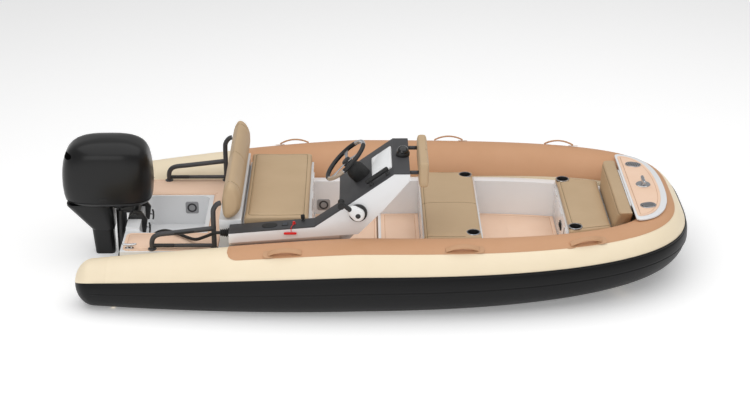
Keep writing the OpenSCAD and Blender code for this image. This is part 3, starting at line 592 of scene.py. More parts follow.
# ---- Seat lockers and lids ----
# White lockers moulded with the deck, closed by lids of the same plastic on barrel hinges. The
# helm locker carries the upstand that holds the backrest.
moulding("helm_seat_box", "helm_locker_moulding", white_gelcoat, 0.005)
moulding("mid_seat_box", "middle_locker_moulding", white_gelcoat, 0.004)
moulding("helm_seat_lid", "helm_lid_moulding", white_gelcoat, 0.0025,
    body="helm_lid")
moulding("mid_seat_lid", "middle_lid_moulding", white_gelcoat, 0.0025,
    body="mid_lid")
moulding("bow_seat_lid", "bow_lid_moulding", white_gelcoat, 0.0025, body="bow_lid")


# ---- Cushions ----
# Cut blocks of firm foam in covers of marine vinyl, sewn with a flat felled border seam a little
# in from the edge and fixed to the lids with press studs under the skirt.

# Taupe vinyl with a soft satin top coat and a pebbled leather emboss. The real pebbles are 1.2 mm
# across and are drawn at 3 mm, or they would be too fine to show
taupe_vinyl, vinyl_shader = new_material("embossed_marine_vinyl", "#c0a683", 0.52, ior=1.5)
place = add(taupe_vinyl, "TexCoord").outputs["Object"]
pebbles = add(taupe_vinyl, "TexVoronoi", {"feature": "F1"}, Vector=place, Scale=1 / 0.003)
creases = add(taupe_vinyl, "TexNoise", Vector=place, Scale=45.0, Detail=5.0, Roughness=0.6)
wear = add(taupe_vinyl, "TexNoise", Vector=place, Scale=4.0, Detail=3.0)
height = add(taupe_vinyl, "Math", {"operation": "MULTIPLY_ADD"}, i0=creases, i1=0.6, i2=pebbles)
tint = add(taupe_vinyl, "Mix", rgba, Factor=wear, i6=linear("#c8ad8a"), i7=linear("#bca17e"))
gloss = add(taupe_vinyl, "MapRange", Value=wear, To_Min=0.45, To_Max=0.60)
feed(taupe_vinyl, vinyl_shader, Base_Color=tint.outputs[2], Roughness=gloss,
    Normal=add(taupe_vinyl, "Bump", Height=height, Strength=0.25, Distance=0.0008))
# Bonded polyester thread, well darker than the vinyl: partly the thread's own colour, partly
# painted shade of the sewn seam
thread_and_seam_shade, _ = new_material("bonded_polyester_thread_seam_shade", "#7c694b", 0.6, ior=1.5)


def evaluated_mesh(obj):
    """A new mesh of a piece with its modifiers applied."""
    return bpy.data.meshes.new_from_object(obj.evaluated_get(bpy.context.evaluated_depsgraph_get()))


def puffed(obj, voxel, reach):
    """Fills a cover as its foam does: the skin is blown out by a cloth simulation, and no point
    goes further than reach."""
    start_mesh = obj.data
    remesh = obj.modifiers.new("voxels", "REMESH")
    remesh.mode = "VOXEL"
    remesh.voxel_size = voxel
    skin = evaluated_mesh(obj)
    obj.modifiers.remove(remesh)
    obj.data = skin
    bpy.data.meshes.remove(start_mesh)
    rest = [v.co.copy() for v in skin.vertices]
    cloth = obj.modifiers.new("filling", "CLOTH")
    cloth.settings.quality = 4
    cloth.settings.use_pressure = True
    cloth.settings.uniform_pressure_force = 4.0
    cloth.settings.effector_weights.gravity = 0
    cloth.point_cache.frame_start = 1
    last_step = 20
    cloth.point_cache.frame_end = last_step
    for step in range(1, last_step + 1):
        scene.frame_set(step)
        blown = obj.evaluated_get(bpy.context.evaluated_depsgraph_get())
    moved = [v.co.copy() for v in blown.data.vertices]
    obj.modifiers.remove(cloth)
    scene.frame_set(1)
    for vertex, was, now in zip(skin.vertices, rest, moved):
        step = now - was
        vertex.co = was + step * min(1.0, reach / max(step.length, 1e-6))
    finer = obj.modifiers.new("finer", "SUBSURF")
    finer.levels = finer.render_levels = 1
    smooth = evaluated_mesh(obj)
    obj.modifiers.remove(finer)
    obj.data = smooth
    smooth.shade_smooth()
    return obj


def press_seams(obj, lines, depth, wide, facing=(0, 0, 1)):
    """Draws the skin down along sewn lines, given as lists of points."""
    aim = np.array(facing, float)
    count = len(obj.data.vertices)
    places, normals = np.empty(count * 3), np.empty(count * 3)
    obj.data.vertices.foreach_get("co", places)
    obj.data.vertices.foreach_get("normal", normals)
    places, normals = places.reshape(-1, 3), normals.reshape(-1, 3)
    nearest = np.full(count, 9.0)
    for line in lines:
        for a, b in zip(np.array(line), np.array(line)[1:]):
            run = b - a
            t = np.clip((places - a) @ run / (run @ run), 0, 1)
            away = places - a - t[:, None] * run
            away -= (away @ aim)[:, None] * aim
            nearest = np.minimum(nearest, np.linalg.norm(away, axis=1))
    drop = depth * np.exp(-(nearest / wide) ** 2) * (normals @ aim > 0.3)
    obj.data.vertices.foreach_set("co", (places - drop[:, None] * aim).ravel())
    obj.data.update()


def sewn(name, lines, pad, body="boat", aim=(0, 0, 1)):
    """Lock-stitched seams: two plies of thread laid on the skin of a pad along lines, as the
    needle leaves them, pinched every 7 mm."""
    aim = Vector(aim)
    skin = BVHTree.FromPolygons([v.co for v in pad.data.vertices],
        [f.vertices for f in pad.data.polygons])
    for number, line in enumerate(lines):
        run, corners = [], [Vector(p) for p in line]
        for a, b in zip(corners, corners[1:]):
            count = max(2, int((b - a).length / 0.0035))
            run += [a.lerp(b, k / count) for k in range(count)]
        hits = [skin.ray_cast(p + aim * 0.5, -aim)[0] for p in run + [corners[-1]]]
        path = [p + aim * 0.0002 for p in hits if p]
        if len(path) > 2:
            plies = [0.0019 if k % 2 else 0.0012 for k in range(len(path))]
            # The thread's dark colour also paints the shade along the seam
            pipe("%s_%d" % (name, number), path, plies, thread_and_seam_shade, sides=8, body=body,
                slot="taupe_vinyl")


def rounded_outline(corners, radius, steps=6):
    """A closed outline in plan with its corners rounded."""
    out = []
    pts = [Vector(c) for c in corners]
    for i, p in enumerate(pts):
        a = (pts[i - 1] - p).normalized()
        b = (pts[(i + 1) % len(pts)] - p).normalized()
        half = a.angle(b) / 2
        run = radius / math.tan(half)
        start, end = p + a * run, p + b * run
        centre = p + (a + b).normalized() * radius / math.sin(half)
        for k in range(steps + 1):
            arm = (start - centre).lerp(end - centre, k / steps)
            out.append(centre + arm.normalized() * radius)
    return out


def seat_cushion(name, corners, z0, z1, node, body, seams, holes=()):
    """A seat cushion over a plan outline: upright sides, a rounded top edge and a flat base."""
    shrink = 0.006
    middle = sum((Vector(c) for c in corners), Vector((0, 0))) / len(corners)
    inner = [Vector(c) - Vector((math.copysign(shrink, c[0] - middle.x),
        math.copysign(shrink, c[1]))) for c in corners]
    outline = rounded_outline(inner, 0.020)
    top = z1 - 0.004
    levels = [(0.003, z0 + 0.001), (0.0, z0 + 0.006), (0.0, top - 0.014), (0.0015, top - 0.009),
        (0.005, top - 0.004), (0.011, top - 0.001), (0.018, top)]
    rings = []
    for inset, z in levels:
        ring = []
        for k, p in enumerate(outline):
            tangent = (outline[(k + 1) % len(outline)] - outline[k - 1]).normalized()
            inward = Vector((-tangent.y, tangent.x))
            if inward.dot(middle - p) < 0:
                inward = -inward
            ring.append(Vector((p.x + inward.x * inset, p.y + inward.y * inset, z)))
        rings.append(ring)
    piece = mesh_piece(name, *loft(rings)[:2], taupe_vinyl, body=body, slot="taupe_vinyl")
    puffed(piece, 0.010, 0.008)
    for vertex in piece.data.vertices:
        vertex.co.z = max(vertex.co.z, z0)
    press_seams(piece, seams, 0.0035, 0.006)
    sewn(name + "_seam", seams, piece, body)
    if holes:
        bm = bmesh.new()
        bm.from_mesh(piece.data)
        cut = [v for v in bm.verts if any((v.co.xy - Vector(h)).length < 0.040 for h in holes)]
        bmesh.ops.delete(bm, geom=cut, context="VERTS")
        bm.to_mesh(piece.data)
        bm.free()
    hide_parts(node)
    return piece


def flat_rectangle(x0, x1, y0, y1, z, radius=0.02):
    """A closed line round a rectangle with rounded corners."""
    line = rounded_outline([(x0, y0), (x1, y0), (x1, y1), (x0, y1)], radius, 4)
    return [(p.x, p.y, z) for p in line] + [(line[0].x, line[0].y, z)]


helm_border = flat_rectangle(-0.812, -0.452, -0.508, 0.508, 0.500)
seat_cushion("helm_seat_pad", [(-0.851, -0.550), (-0.410, -0.550), (-0.410, 0.550),
    (-0.851, 0.550)], 0.4303, 0.500, "helm_seat_cushion", "helm_lid", [helm_border])
mid_z = 0.352
mid_seams = [[(0.320, 0.0, mid_z), (0.720, 0.0, mid_z)], [(0.352, -0.56, mid_z),
    (0.352, 0.56, mid_z)], [(0.320, -0.528, mid_z), (0.600, -0.528, mid_z)],
    [(0.320, 0.528, mid_z), (0.600, 0.528, mid_z)]]
mid_cups = [(0.654, 0.476), (0.654, -0.476)]
seat_cushion("middle_seat_pad", [(0.320, -0.560), (0.720, -0.560), (0.720, 0.560), (0.320, 0.560)],
    0.3038, mid_z, "mid_seat_cushion", "mid_lid", mid_seams, mid_cups)
bow_seams = [[(1.572, -0.366, mid_z), (1.380, -0.412, mid_z), (1.372, -0.350, mid_z),
    (1.318, -0.336, mid_z), (1.312, 0.336, mid_z), (1.372, 0.350, mid_z), (1.380, 0.412, mid_z),
    (1.572, 0.366, mid_z)]]
bow_cups = [(1.332, 0.392), (1.332, -0.392)]
seat_cushion("bow_seat_pad", [(1.280, -0.470), (1.584, -0.398), (1.584, 0.398), (1.280, 0.470)],
    0.3038, mid_z, "bow_seat_cushion", "bow_lid", bow_seams, bow_cups)


# ---- Backrests and bolster ----
# The helm backrest is a long bolster of foam over a board, bulged in front and sewn in four
# panels; the bow backrest is a wedge; the console's bolster is a thin pad on two bars.
def rolled_pad(name, profile, y0, y1, taper, node, seams, facing, voxel, reach):
    """A pad of one section across the boat, whose ends round off over the taper."""
    steps = 10
    curve = [Vector((p.x, p.y)) for p in smooth_path([(a, b, 0) for a, b in profile], 5,
        closed=True)]
    middle = sum(curve, Vector((0, 0))) / len(curve)
    rings = []
    for k in range(2 * steps + 3):
        from_end = min(k, 2 * steps + 2 - k)
        y, size = (y0 + y1) / 2, 1.0
        if from_end <= steps:
            a = pi / 2 * from_end / steps
            inset = taper * (1 - math.cos(a))
            y, size = y0 + inset if k <= steps else y1 - inset, 0.45 + 0.55 * math.sin(a) ** 0.7
        rings.append([Vector((middle.x + (p.x - middle.x) * size, y, middle.y + (p.y - middle.y)
            * size)) for p in curve])
    piece = mesh_piece(name, *loft(rings)[:2], taupe_vinyl, slot="taupe_vinyl")
    puffed(piece, voxel, reach)
    for number, (lines, aim) in enumerate(zip(seams, facing)):
        press_seams(piece, lines, 0.006, 0.008, aim)
        sewn("%s_seam_%d" % (name, number), lines, piece, aim=aim)
    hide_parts(node)
    return piece


back_profile = [(-0.965, 0.500), (-0.930, 0.494), (-0.890, 0.514), (-0.866, 0.560),
    (-0.862, 0.612), (-0.866, 0.665), (-0.887, 0.718), (-0.918, 0.741), (-0.940, 0.733),
    (-0.958, 0.680), (-0.969, 0.620), (-0.970, 0.560)]
back_lines = [[(-0.8, y, 0.40), (-0.8, y, 0.80)] for y in (-0.50, 0.0, 0.50)]
rolled_pad("helm_backrest_pad", back_profile, -0.595, 0.595, 0.055, "helm_backrest",
    [back_lines, back_lines], [(1, 0, 0), (-1, 0, 0)], 0.010, 0.007)
bolster_profile = [(0.292, 0.762), (0.300, 0.750), (0.320, 0.748), (0.339, 0.750), (0.347, 0.762),
    (0.348, 0.800), (0.348, 0.870), (0.347, 0.908), (0.339, 0.920), (0.320, 0.922), (0.300, 0.920),
    (0.292, 0.908), (0.291, 0.870), (0.291, 0.800)]
rolled_pad("bolster_pad", bolster_profile, -0.668, -0.152, 0.022, "bolster",
    [[[(0.40, -0.41, 0.70), (0.40, -0.41, 0.95)]]], [(1, 0, 0)], 0.007, 0.004)


def wedge_at(z, inset):
    """Outline of the bow backrest at a height: it widens upward and its front face leans."""
    f = (z - 0.2853) / 0.1927
    x0, x1, half = 1.580 + 0.032 * f + inset, 1.690 + 0.016 * f - inset, 0.330 + 0.130 * f - inset
    return [Vector((p.x, p.y, z)) for p in rounded_outline([(x0, -half), (x1, -half), (x1, half),
        (x0, half)], 0.012)]


wedge = mesh_piece("bow_backrest_pad", *loft([wedge_at(z, inset) for z,
    inset in ((0.2865, 0.010), (0.290, 0.006), (0.30, 0.004), (0.34, 0.004), (0.38, 0.004),
    (0.42, 0.004), (0.450, 0.004), (0.462, 0.005), (0.469, 0.008), (0.4725, 0.013))])[:2],
    taupe_vinyl, slot="taupe_vinyl")
puffed(wedge, 0.009, 0.004)
wedge_line = [[(1.5, -0.6, 0.452), (1.5, 0.6, 0.452)]]
press_seams(wedge, wedge_line, 0.003, 0.005, (-1, 0, 0))
sewn("bow_backrest_seam", wedge_line, wedge, aim=(-1, 0, 0))
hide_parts("bow_backrest")


# ---- Cup holders ----
# Black moulded cups let into the cushions of the middle and bow seats, each under a ring of
# pressed stainless steel.
def turned(name, profile, mat, centre=(0, 0, 0), turn=None, sides=32, **more):
    """A round piece from a profile of radii and heights, on an axis that turn tilts."""
    turn = turn or Matrix.Identity(3)
    rings = []
    for k in range(sides):
        a = 2 * pi * k / sides
        rings.append([Vector(centre) + turn @ Vector((r * math.cos(a), r * math.sin(a), h)) for r,
            h in profile])
    count = len(profile)
    verts = [p for ring in rings for p in ring]
    faces = []
    for j in range(sides):
        n = (j + 1) % sides
        for i in range(count - 1):
            faces.append((j * count + i, n * count + i, n * count + i + 1, j * count + i + 1))
    piece = mesh_piece(name, verts, faces, mat, **more)
    bm = bmesh.new()
    bm.from_mesh(piece.data)
    bmesh.ops.remove_doubles(bm, verts=bm.verts, dist=0.00002)
    bmesh.ops.recalc_face_normals(bm, faces=bm.faces)
    bm.to_mesh(piece.data)
    bm.free()
    return piece


# ABS with a fine spark-eroded texture: it breaks the highlight up into a soft grey
black_abs, abs_shader = new_material("textured_black_abs", "#1f1f20", 0.46, ior=1.53)
grained(black_abs, abs_shader, 600.0, 0.2, 0.0006, Detail=2.0)
# Polished stainless steel: bright, with fine wheel marks one way
polished_steel, steel_shader = new_material("polished_stainless_steel", "#c8c9cc", 0.16,
    metallic=1.0)
marks = add(polished_steel, "TexNoise", Scale=1.0, Detail=3.0, Vector=add(polished_steel,
    "Mapping", Scale=(40.0, 900.0, 40.0), Vector=add(polished_steel, "TexCoord").outputs["Object"]))
feed(polished_steel, steel_shader, Roughness=add(polished_steel, "MapRange", Value=marks,
    To_Min=0.10, To_Max=0.26))
cup_profile = [(0.0, 0.2876), (0.030, 0.2876), (0.034, 0.291), (0.0352, 0.300), (0.0352, 0.350),
    (0.037, 0.3548), (0.041, 0.3552), (0.041, 0.3534), (0.0368, 0.352), (0.0368, 0.290),
    (0.033, 0.2866), (0.0, 0.2866)]
ring_profile = [(0.0395, 0.3536), (0.0405, 0.3556), (0.044, 0.3562), (0.047, 0.3552),
    (0.048, 0.3530), (0.0475, 0.3524), (0.040, 0.3524), (0.0395, 0.3536)]
for label, body, node, places in (("middle", "mid_lid", "mid_cup_holders", mid_cups),
        ("bow", "bow_lid", "bow_cup_holders", bow_cups)):
    for side, (x, y) in zip(("port", "starboard"), places):
        cup = turned(label + "_cup_" + side, cup_profile, black_abs, (x, y, 0), body=body,
            slot="black_plastic")
        turned(label + "_cup_ring_" + side, ring_profile, polished_steel, (x, y, 0), body=body,
            slot="stainless")
        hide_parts(node)


# ---- Console ----
# A white moulding on the starboard side: a low module along the tube that rises to an arm and the
# dash. Its top is lined with dark-grey moulded trim.
moulding("console_body", "console_moulding", white_gelcoat, 0.010, sharp=24)
# Powder-textured grey ABS panels, matt, with a slight mottle
grey_trim, trim_shader = new_material("textured_grey_abs", "#444446", 0.50, ior=1.53,
    Specular_IOR_Level=0.3)
place = add(grey_trim, "TexCoord").outputs["Object"]
fine = add(grey_trim, "TexNoise", Vector=place, Scale=500.0, Detail=2.0)
broad = add(grey_trim, "TexNoise", Vector=place, Scale=6.0, Detail=4.0)
tint = add(grey_trim, "Mix", rgba, Factor=broad, i6=linear("#464648"), i7=linear("#3d3d3f"))
feed(grey_trim, trim_shader, Base_Color=tint.outputs[2], Normal=add(grey_trim, "Bump", Height=fine,
    Strength=0.2, Distance=0.0006))
moulding("console_trim", "console_trim_panels", grey_trim, 0.0025, sharp=20)
trim_line = [(-0.930, 0.460), (-0.380, 0.505), (-0.220, 0.617), (0.130, 0.870), (0.230, 0.870)]


def trim_z(x):
    """Height of the trim's top, along the console."""
    for (x0, z0), (x1, z1) in zip(trim_line, trim_line[1:]):
        if x <= x1:
            return z0 + (z1 - z0) * (x - x0) / (x1 - x0)
    return trim_line[-1][1]


dash_slope = math.atan2(0.253, 0.350)
module_slope = math.atan2(0.045, 0.550)
# What stands on another surface is laid this far off it
off_face = 0.0003


def tilted(slope):
    """A turn that lays a piece on a face rising towards the bow."""
    return Matrix.Rotation(-slope, 3, "Y")


def on_trim(x, y):
    """A place on top of the trim."""
    return Vector((x, y, trim_z(x) + off_face))


def slab(name, half_x, half_y, z0, z1, radius, mat, centre, turn, edge=0.002, **more):
    """A plate with round corners and an eased top edge, laid at a place and a tilt."""
    outline = rounded_outline([(-half_x, -half_y), (half_x, -half_y), (half_x, half_y),
        (-half_x, half_y)], radius, 6)
    rings = []
    for inset, z in ((0, z0), (0, z1 - edge), (edge * 0.3, z1 - edge * 0.3), (edge, z1)):
        fx, fy = (half_x - inset) / half_x, (half_y - inset) / half_y
        rings.append([Vector(centre) + turn @ Vector((p.x * fx, p.y * fy, z)) for p in outline])
    return mesh_piece(name, *loft(rings)[:2], mat, **more)


# ---- Display ----
# A chart display in a white moulded frame, glued to the dash: toughened glass over a pale blank
# screen.
screen_frame, _ = new_material("moulded_white_abs", "#f2f2f2", 0.35, ior=1.53)
# Toughened glass: mirror-smooth over the even pale panel behind it
screen_glass, _ = new_material("screen_glass", "#f7f8f9", 0.08, ior=1.52, Coat_Weight=0.6,
    Coat_Roughness=0.03)
display_at = on_trim(0.056, -0.410)
frame_piece = slab("display_frame", 0.076, 0.175, 0.0, 0.0085, 0.010, screen_frame, display_at,
    tilted(dash_slope), slot="screen")
slab("display_glass", 0.069, 0.168, 0.0085, 0.0098, 0.006, screen_glass, display_at,
    tilted(dash_slope), 0.0008, slot="screen")
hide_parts("display")


# ---- Dash fittings ----
# The helm's steering dome and shaft, a compass under a smoked dome, a rubber-covered grab handle,
# and on the low module an oval recess, a rocker switch and the ignition key's knob.
wheel_at = Vector((-0.180, -0.400, 0.836))
wheel_turn = Matrix.Rotation(math.radians(-44), 3, "Y")
# Soft-touch rubber paint: black, almost no shine
soft_rubber, rubber_shader = new_material("soft_black_rubber", "#171717", 0.62, ior=1.52)
grained(soft_rubber, rubber_shader, 450.0, 0.2, 0.0006)
dome_profile = [(0.0, -0.0362), (0.026, -0.0362), (0.030, -0.0400), (0.032, -0.052),
    (0.043, -0.060), (0.052, -0.070), (0.0585, -0.084), (0.0610, -0.100), (0.0615, -0.116),
    (0.0610, -0.130), (0.0605, -0.150), (0.0605, -0.176)]
helm_dome = turned("helm_dome", dome_profile, soft_rubber, wheel_at, wheel_turn, sides=48,
    slot="black_plastic")
for vertex in helm_dome.data.vertices:
    surface = trim_z(-0.093) + (vertex.co.x + 0.093) * math.tan(dash_slope) + off_face
    if vertex.co.z < surface:
        axis = wheel_turn @ Vector((0, 0, 1))
        lift = (surface - vertex.co.z) / (axis.z - axis.x * math.tan(dash_slope))
        vertex.co += axis * lift
turned("helm_shaft", [(0.0, -0.003), (0.0095, -0.003), (0.010, -0.004), (0.010, -0.0365),
    (0, -0.0365)], polished_steel, wheel_at, wheel_turn, slot="stainless")
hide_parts("dash_fittings")
# Smoked acrylic, glossy and nearly black
smoked_acrylic, _ = new_material("smoked_acrylic_dome", "#0d0d0e", 0.07, ior=1.49, Coat_Weight=0.5)
compass_at = (0.190, -0.400, 0.8703)
turned("compass_base", [(0.0, 0.0), (0.0445, 0.0), (0.045, 0.002), (0.045, 0.019), (0.0435, 0.022),
    (0.040, 0.0225), (0, 0.0225)], black_abs, compass_at, slot="black_plastic")
turned("compass_dome", [(0.0398 * math.cos(math.radians(a)), 0.0222 + 0.042
    * math.sin(math.radians(a))) for a in range(0, 91, 6)], smoked_acrylic, compass_at,
    slot="black_plastic")
handle_at = on_trim(0.040, -0.645)
grip = [handle_at + tilted(dash_slope) @ Vector((x, 0, 0.034)) for x in [-0.085 + 0.0085 * k
    for k in range(21)]]
pipe("grab_handle_grip", grip, [0.0142] + [0.0150 - 0.0007 * (k % 2) for k in range(19)]
    + [0.0142], soft_rubber, sides=20, slot="black_plastic")
for label, x in (("aft", -0.062), ("fore", 0.062)):
    turned("grab_handle_post_" + label, [(0, 0), (0.0155, 0), (0.0155, 0.003), (0.0125, 0.007),
        (0.0115, 0.028), (0, 0.028)], black_abs, handle_at + tilted(dash_slope) @ Vector((x, 0,
        0)), tilted(dash_slope), slot="black_plastic")
recess_at = on_trim(-0.668, -0.635)
slab("module_recess_rim", 0.050, 0.034, 0, 0.003, 0.0335, soft_rubber, recess_at,
    tilted(module_slope), 0.001, slot="black_plastic")
slab("module_recess_well", 0.041, 0.026, 0.003, 0.0033, 0.0255, soft_rubber, recess_at,
    tilted(module_slope), 0.0002, slot="black_plastic")
# Slate-grey moulded nylon
slate_nylon, _ = new_material("slate_moulded_nylon", "#3c4048", 0.42, ior=1.53)
rocker_at = on_trim(-0.569, -0.635)
slab("rocker_switch_frame", 0.020, 0.022, 0, 0.0035, 0.004, black_abs, rocker_at,
    tilted(module_slope), 0.001, slot="black_plastic")
for label, y in (("port", 0.0085), ("starboard", -0.0085)):
    slab("rocker_key_" + label, 0.0155, 0.0075, 0.0030, 0.0048, 0.002, slate_nylon, rocker_at
        + tilted(module_slope) @ Vector((0, y, 0)), tilted(module_slope), 0.0008,
        slot="black_plastic")
key_at = on_trim(-0.453, -0.600)
turned("key_barrel", [(0, 0), (0.012, 0), (0.012, 0.004), (0.0095, 0.006), (0.0085, 0.018),
    (0, 0.018)], black_abs, key_at, tilted(module_slope), slot="black_plastic")
slab("key_head", 0.0130, 0.0065, 0.016, 0.0418, 0.005, soft_rubber, key_at, tilted(module_slope),
    0.002, slot="black_plastic")
kill_at = on_trim(-0.511, -0.640)
# Moulded red nylon, glossy
red_nylon, _ = new_material("moulded_red_nylon", "#dd2622", 0.3, ior=1.53)
plug = turned("kill_switch_plug", [(0, 0), (0.011, 0), (0.011, 0.005), (0.0085, 0.0065),
    (0.0078, 0.011), (0.0088, 0.0135), (0.0085, 0.0155), (0.006, 0.016), (0, 0.016)], red_nylon,
    kill_at, tilted(math.radians(4.7)), slot="red_plastic")
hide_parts("kill_switch")


# ---- Throttle ----
# A side-mount control: a black backing disc, a white die-cast body and a black lever whose grip
# flares outward, set up and aft.
throttle_at = Vector((-0.100, -0.700, 0.600))
outward = Matrix(((1, 0, 0), (0, 0, -1), (0, 1, 0)))
backing = turned("throttle_backing", [(0, 0.0003), (0.059, 0.0003), (0.059, 0.013), (0.057, 0.017),
    (0.052, 0.0183), (0, 0.0183)], black_abs, throttle_at, outward, sides=48, slot="black_plastic")
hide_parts("throttle")
# Die-cast aluminium under white polyester powder, with a light orange-peel skin
white_powder, powder_shader = new_material("white_powder_coat", "#f0f0f0", 0.3, ior=1.5)
grained(white_powder, powder_shader, 220.0, 0.12, 0.0008)
lever_angle, lever_out, lever_reach = math.radians(142), Vector((0, -0.045, 0)), 0.135
lever_dir = Vector((math.cos(lever_angle), 0, math.sin(lever_angle)))
rings = []
for height, grow in ((0.0185, 0.94), (0.022, 1.0), (0.040, 0.99), (0.050, 0.93), (0.056, 0.80),
        (0.0582, 0.62)):
    ring = []
    for k in range(48):
        a = 2 * pi * k / 48
        towards = Vector((math.cos(a), 0, math.sin(a))).dot(lever_dir)
        r = 0.0425 * grow * (1 + 0.78 * max(0.0, towards) ** 3.4)
        ring.append(throttle_at + Vector((r * math.cos(a), -height, r * math.sin(a))))
    rings.append(ring)
mesh_piece("throttle_body", *loft(rings)[:2], white_powder, slot="white_gelcoat")
turned("throttle_cap", [(0, 0.058), (0.0165, 0.058), (0.0165, 0.0592), (0.0155, 0.0599),
    (0, 0.0602)], black_abs, throttle_at, outward, slot="black_plastic")
arm = [throttle_at + lever_out + lever_dir * s for s in (0.056, 0.075, 0.095, 0.115, lever_reach)]
pipe("throttle_arm", arm, [0.0165, 0.0155, 0.0145, 0.0145, 0.0150], black_abs, sides=16,
    slot="black_plastic")
end = throttle_at + lever_dir * lever_reach
grip = [end + Vector((0, -0.045 + 0.036 - 0.085 * k / 10, 0)) for k in range(11)]
pipe("throttle_grip", grip, [0.0190, 0.0215, 0.0210, 0.0185, 0.0165, 0.0155, 0.0160, 0.0175,
    0.0200, 0.0225, 0.0215], soft_rubber, sides=24, slot="black_plastic")


# ---- Bolster bars ----
# Two anodised tubes through flanges on the console's forward face.

# Dark anodised aluminium: metal under a thin grey skin, with a broad soft highlight
dark_anodised, _ = new_material("dark_anodised_aluminium", "#47474a", 0.34, metallic=0.85)
for label, y in (("port", -0.210), ("starboard", -0.620)):
    bar = pipe("bolster_bar_" + label, [(0.2308, y, 0.842), (0.25, y, 0.842), (0.27, y, 0.842),
        (0.2886, y, 0.842)], 0.0128, dark_anodised, sides=24, slot="grey_tube")
    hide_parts("bolster_bars")


# ---- Steering wheel ----
# A three-spoke wheel: a steel ring moulded in black polyurethane, with two bare inlays in the rim,
# bright pressed spokes and a black centre cap.

# Moulded polyurethane skin, satin, with a fine leather grain
wheel_skin, skin_shader = new_material("moulded_polyurethane_rim", "#191919", 0.42, ior=1.5)
grained(wheel_skin, skin_shader, 420.0, 0.25, 0.0006, "Voronoi")
# Brushed aluminium inlay: soft streaks along the rim
brushed_alloy, alloy_shader = new_material("brushed_aluminium_inlay", "#cfcfd1", 0.3, metallic=1.0)
streaks = add(brushed_alloy, "TexNoise", Detail=2.0, Scale=1.0,
    Vector=add(brushed_alloy, "Mapping", Scale=(900.0, 60.0, 900.0),
    Vector=add(brushed_alloy, "TexCoord").outputs["Object"]))
feed(brushed_alloy, alloy_shader, Roughness=add(brushed_alloy, "MapRange", To_Min=0.22,
    To_Max=0.42, Value=streaks))
# Lacquered pale burr veneer: warm, glossy, with swirled grain
burr_veneer, burr_shader = new_material("lacquered_burr_veneer", "#b9a48c", 0.25, ior=1.5,
    Coat_Weight=0.7)
swirl = add(burr_veneer, "TexNoise", Scale=60.0, Detail=6.0, Distortion=1.6,
    Vector=add(burr_veneer, "TexCoord").outputs["Object"])
feed(burr_veneer, burr_shader, Base_Color=add(burr_veneer, "Mix", rgba, i6=linear("#cbb9a4"),
    i7=linear("#97806a"), Factor=swirl).outputs[2])


rim_radius = 0.160


def rim_part(name, start, end, radius, mat, slot, grooves=0.0):
    """Part of the wheel's rim between two angles from the rim's forward point."""
    rings = []
    steps = max(6, int((end - start) / 3))
    for k in range(steps + 1):
        a = math.radians(start + (end - start) * k / steps)
        ring = []
        for j in range(20):
            b = 2 * pi * j / 20
            r = radius + 0.0008 * grooves * (math.cos(b) < -0.6) * math.sin(a * 24)
            out = rim_radius + r * math.cos(b)
            ring.append(wheel_at + wheel_turn @ Vector((out * math.cos(a), out * math.sin(a), r
                * math.sin(b))))
        rings.append(ring)
    return mesh_piece(name, *loft(rings)[:2], mat, body="wheel", slot=slot)


rim = rim_part("wheel_rim_port", 54, 206, 0.0146, wheel_skin, "black_plastic", 1.0)
rim_part("wheel_rim_starboard", 266, 356, 0.0146, wheel_skin, "black_plastic", 1.0)
rim_part("wheel_inlay_fore", -4, 54, 0.0136, brushed_alloy, "stainless")
rim_part("wheel_inlay_aft", 206, 266, 0.0136, burr_veneer, "stainless")
for number, angle in enumerate((-4, 54, 206, 266)):
    rim_part("wheel_rim_ferrule_%d" % number, angle - 1.0, angle + 1.0, 0.0149, polished_steel,
        "stainless")
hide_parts("steering_wheel")
hub_reach, rim_reach = 0.024, 0.148
for number, angle in enumerate((90, 210, 330)):
    a = math.radians(angle)
    out, across = Vector((math.cos(a), math.sin(a), 0)), Vector((-math.sin(a), math.cos(a), 0))
    rings = []
    for k in range(13):
        f = k / 12
        reach = hub_reach + (rim_reach - hub_reach) * f
        half = 0.017 - 0.006 * math.sin(pi * min(1.0, f * 1.15)) + 0.004 * max(0.0, f - 0.8) * 5
        height = -0.010 + 0.0075 * f ** 2
        rings.append([wheel_at + wheel_turn @ (out * reach + across * (half * s)
            + Vector((0, 0, height + t))) for s, t in ((-1, 0), (-0.94, 0.0022), (-0.7, 0.003),
            (0, 0.0034), (0.7, 0.003), (0.94, 0.0022), (1, 0), (0.9, -0.0018), (0, -0.0024),
            (-0.9, -0.0018))])
    mesh_piece("wheel_spoke_%d" % number, *loft(rings)[:2], brushed_alloy, body="wheel",
        slot="stainless")
turned("wheel_hub", [(0.0101, -0.030), (0.031, -0.030), (0.0335, -0.027), (0.0338, -0.012),
    (0.031, -0.008), (0.0101, -0.008)], black_abs, wheel_at, wheel_turn, sides=40, body="wheel",
    slot="black_plastic")
turned("wheel_cap", [(0, -0.009), (0.0300, -0.009), (0.0305, -0.002), (0.029, 0.002),
    (0.022, 0.0047), (0.012, 0.0056), (0, 0.0058)], black_abs, wheel_at, wheel_turn, sides=40,
    body="wheel", slot="black_plastic")


# ---- Stern rails ----
# Two bent tube rails bolted to the side decks, each a hoop that rises to a post behind the helm
# seat, with a flat base bar and small non-slip pads. Black powder coat over stainless tube.

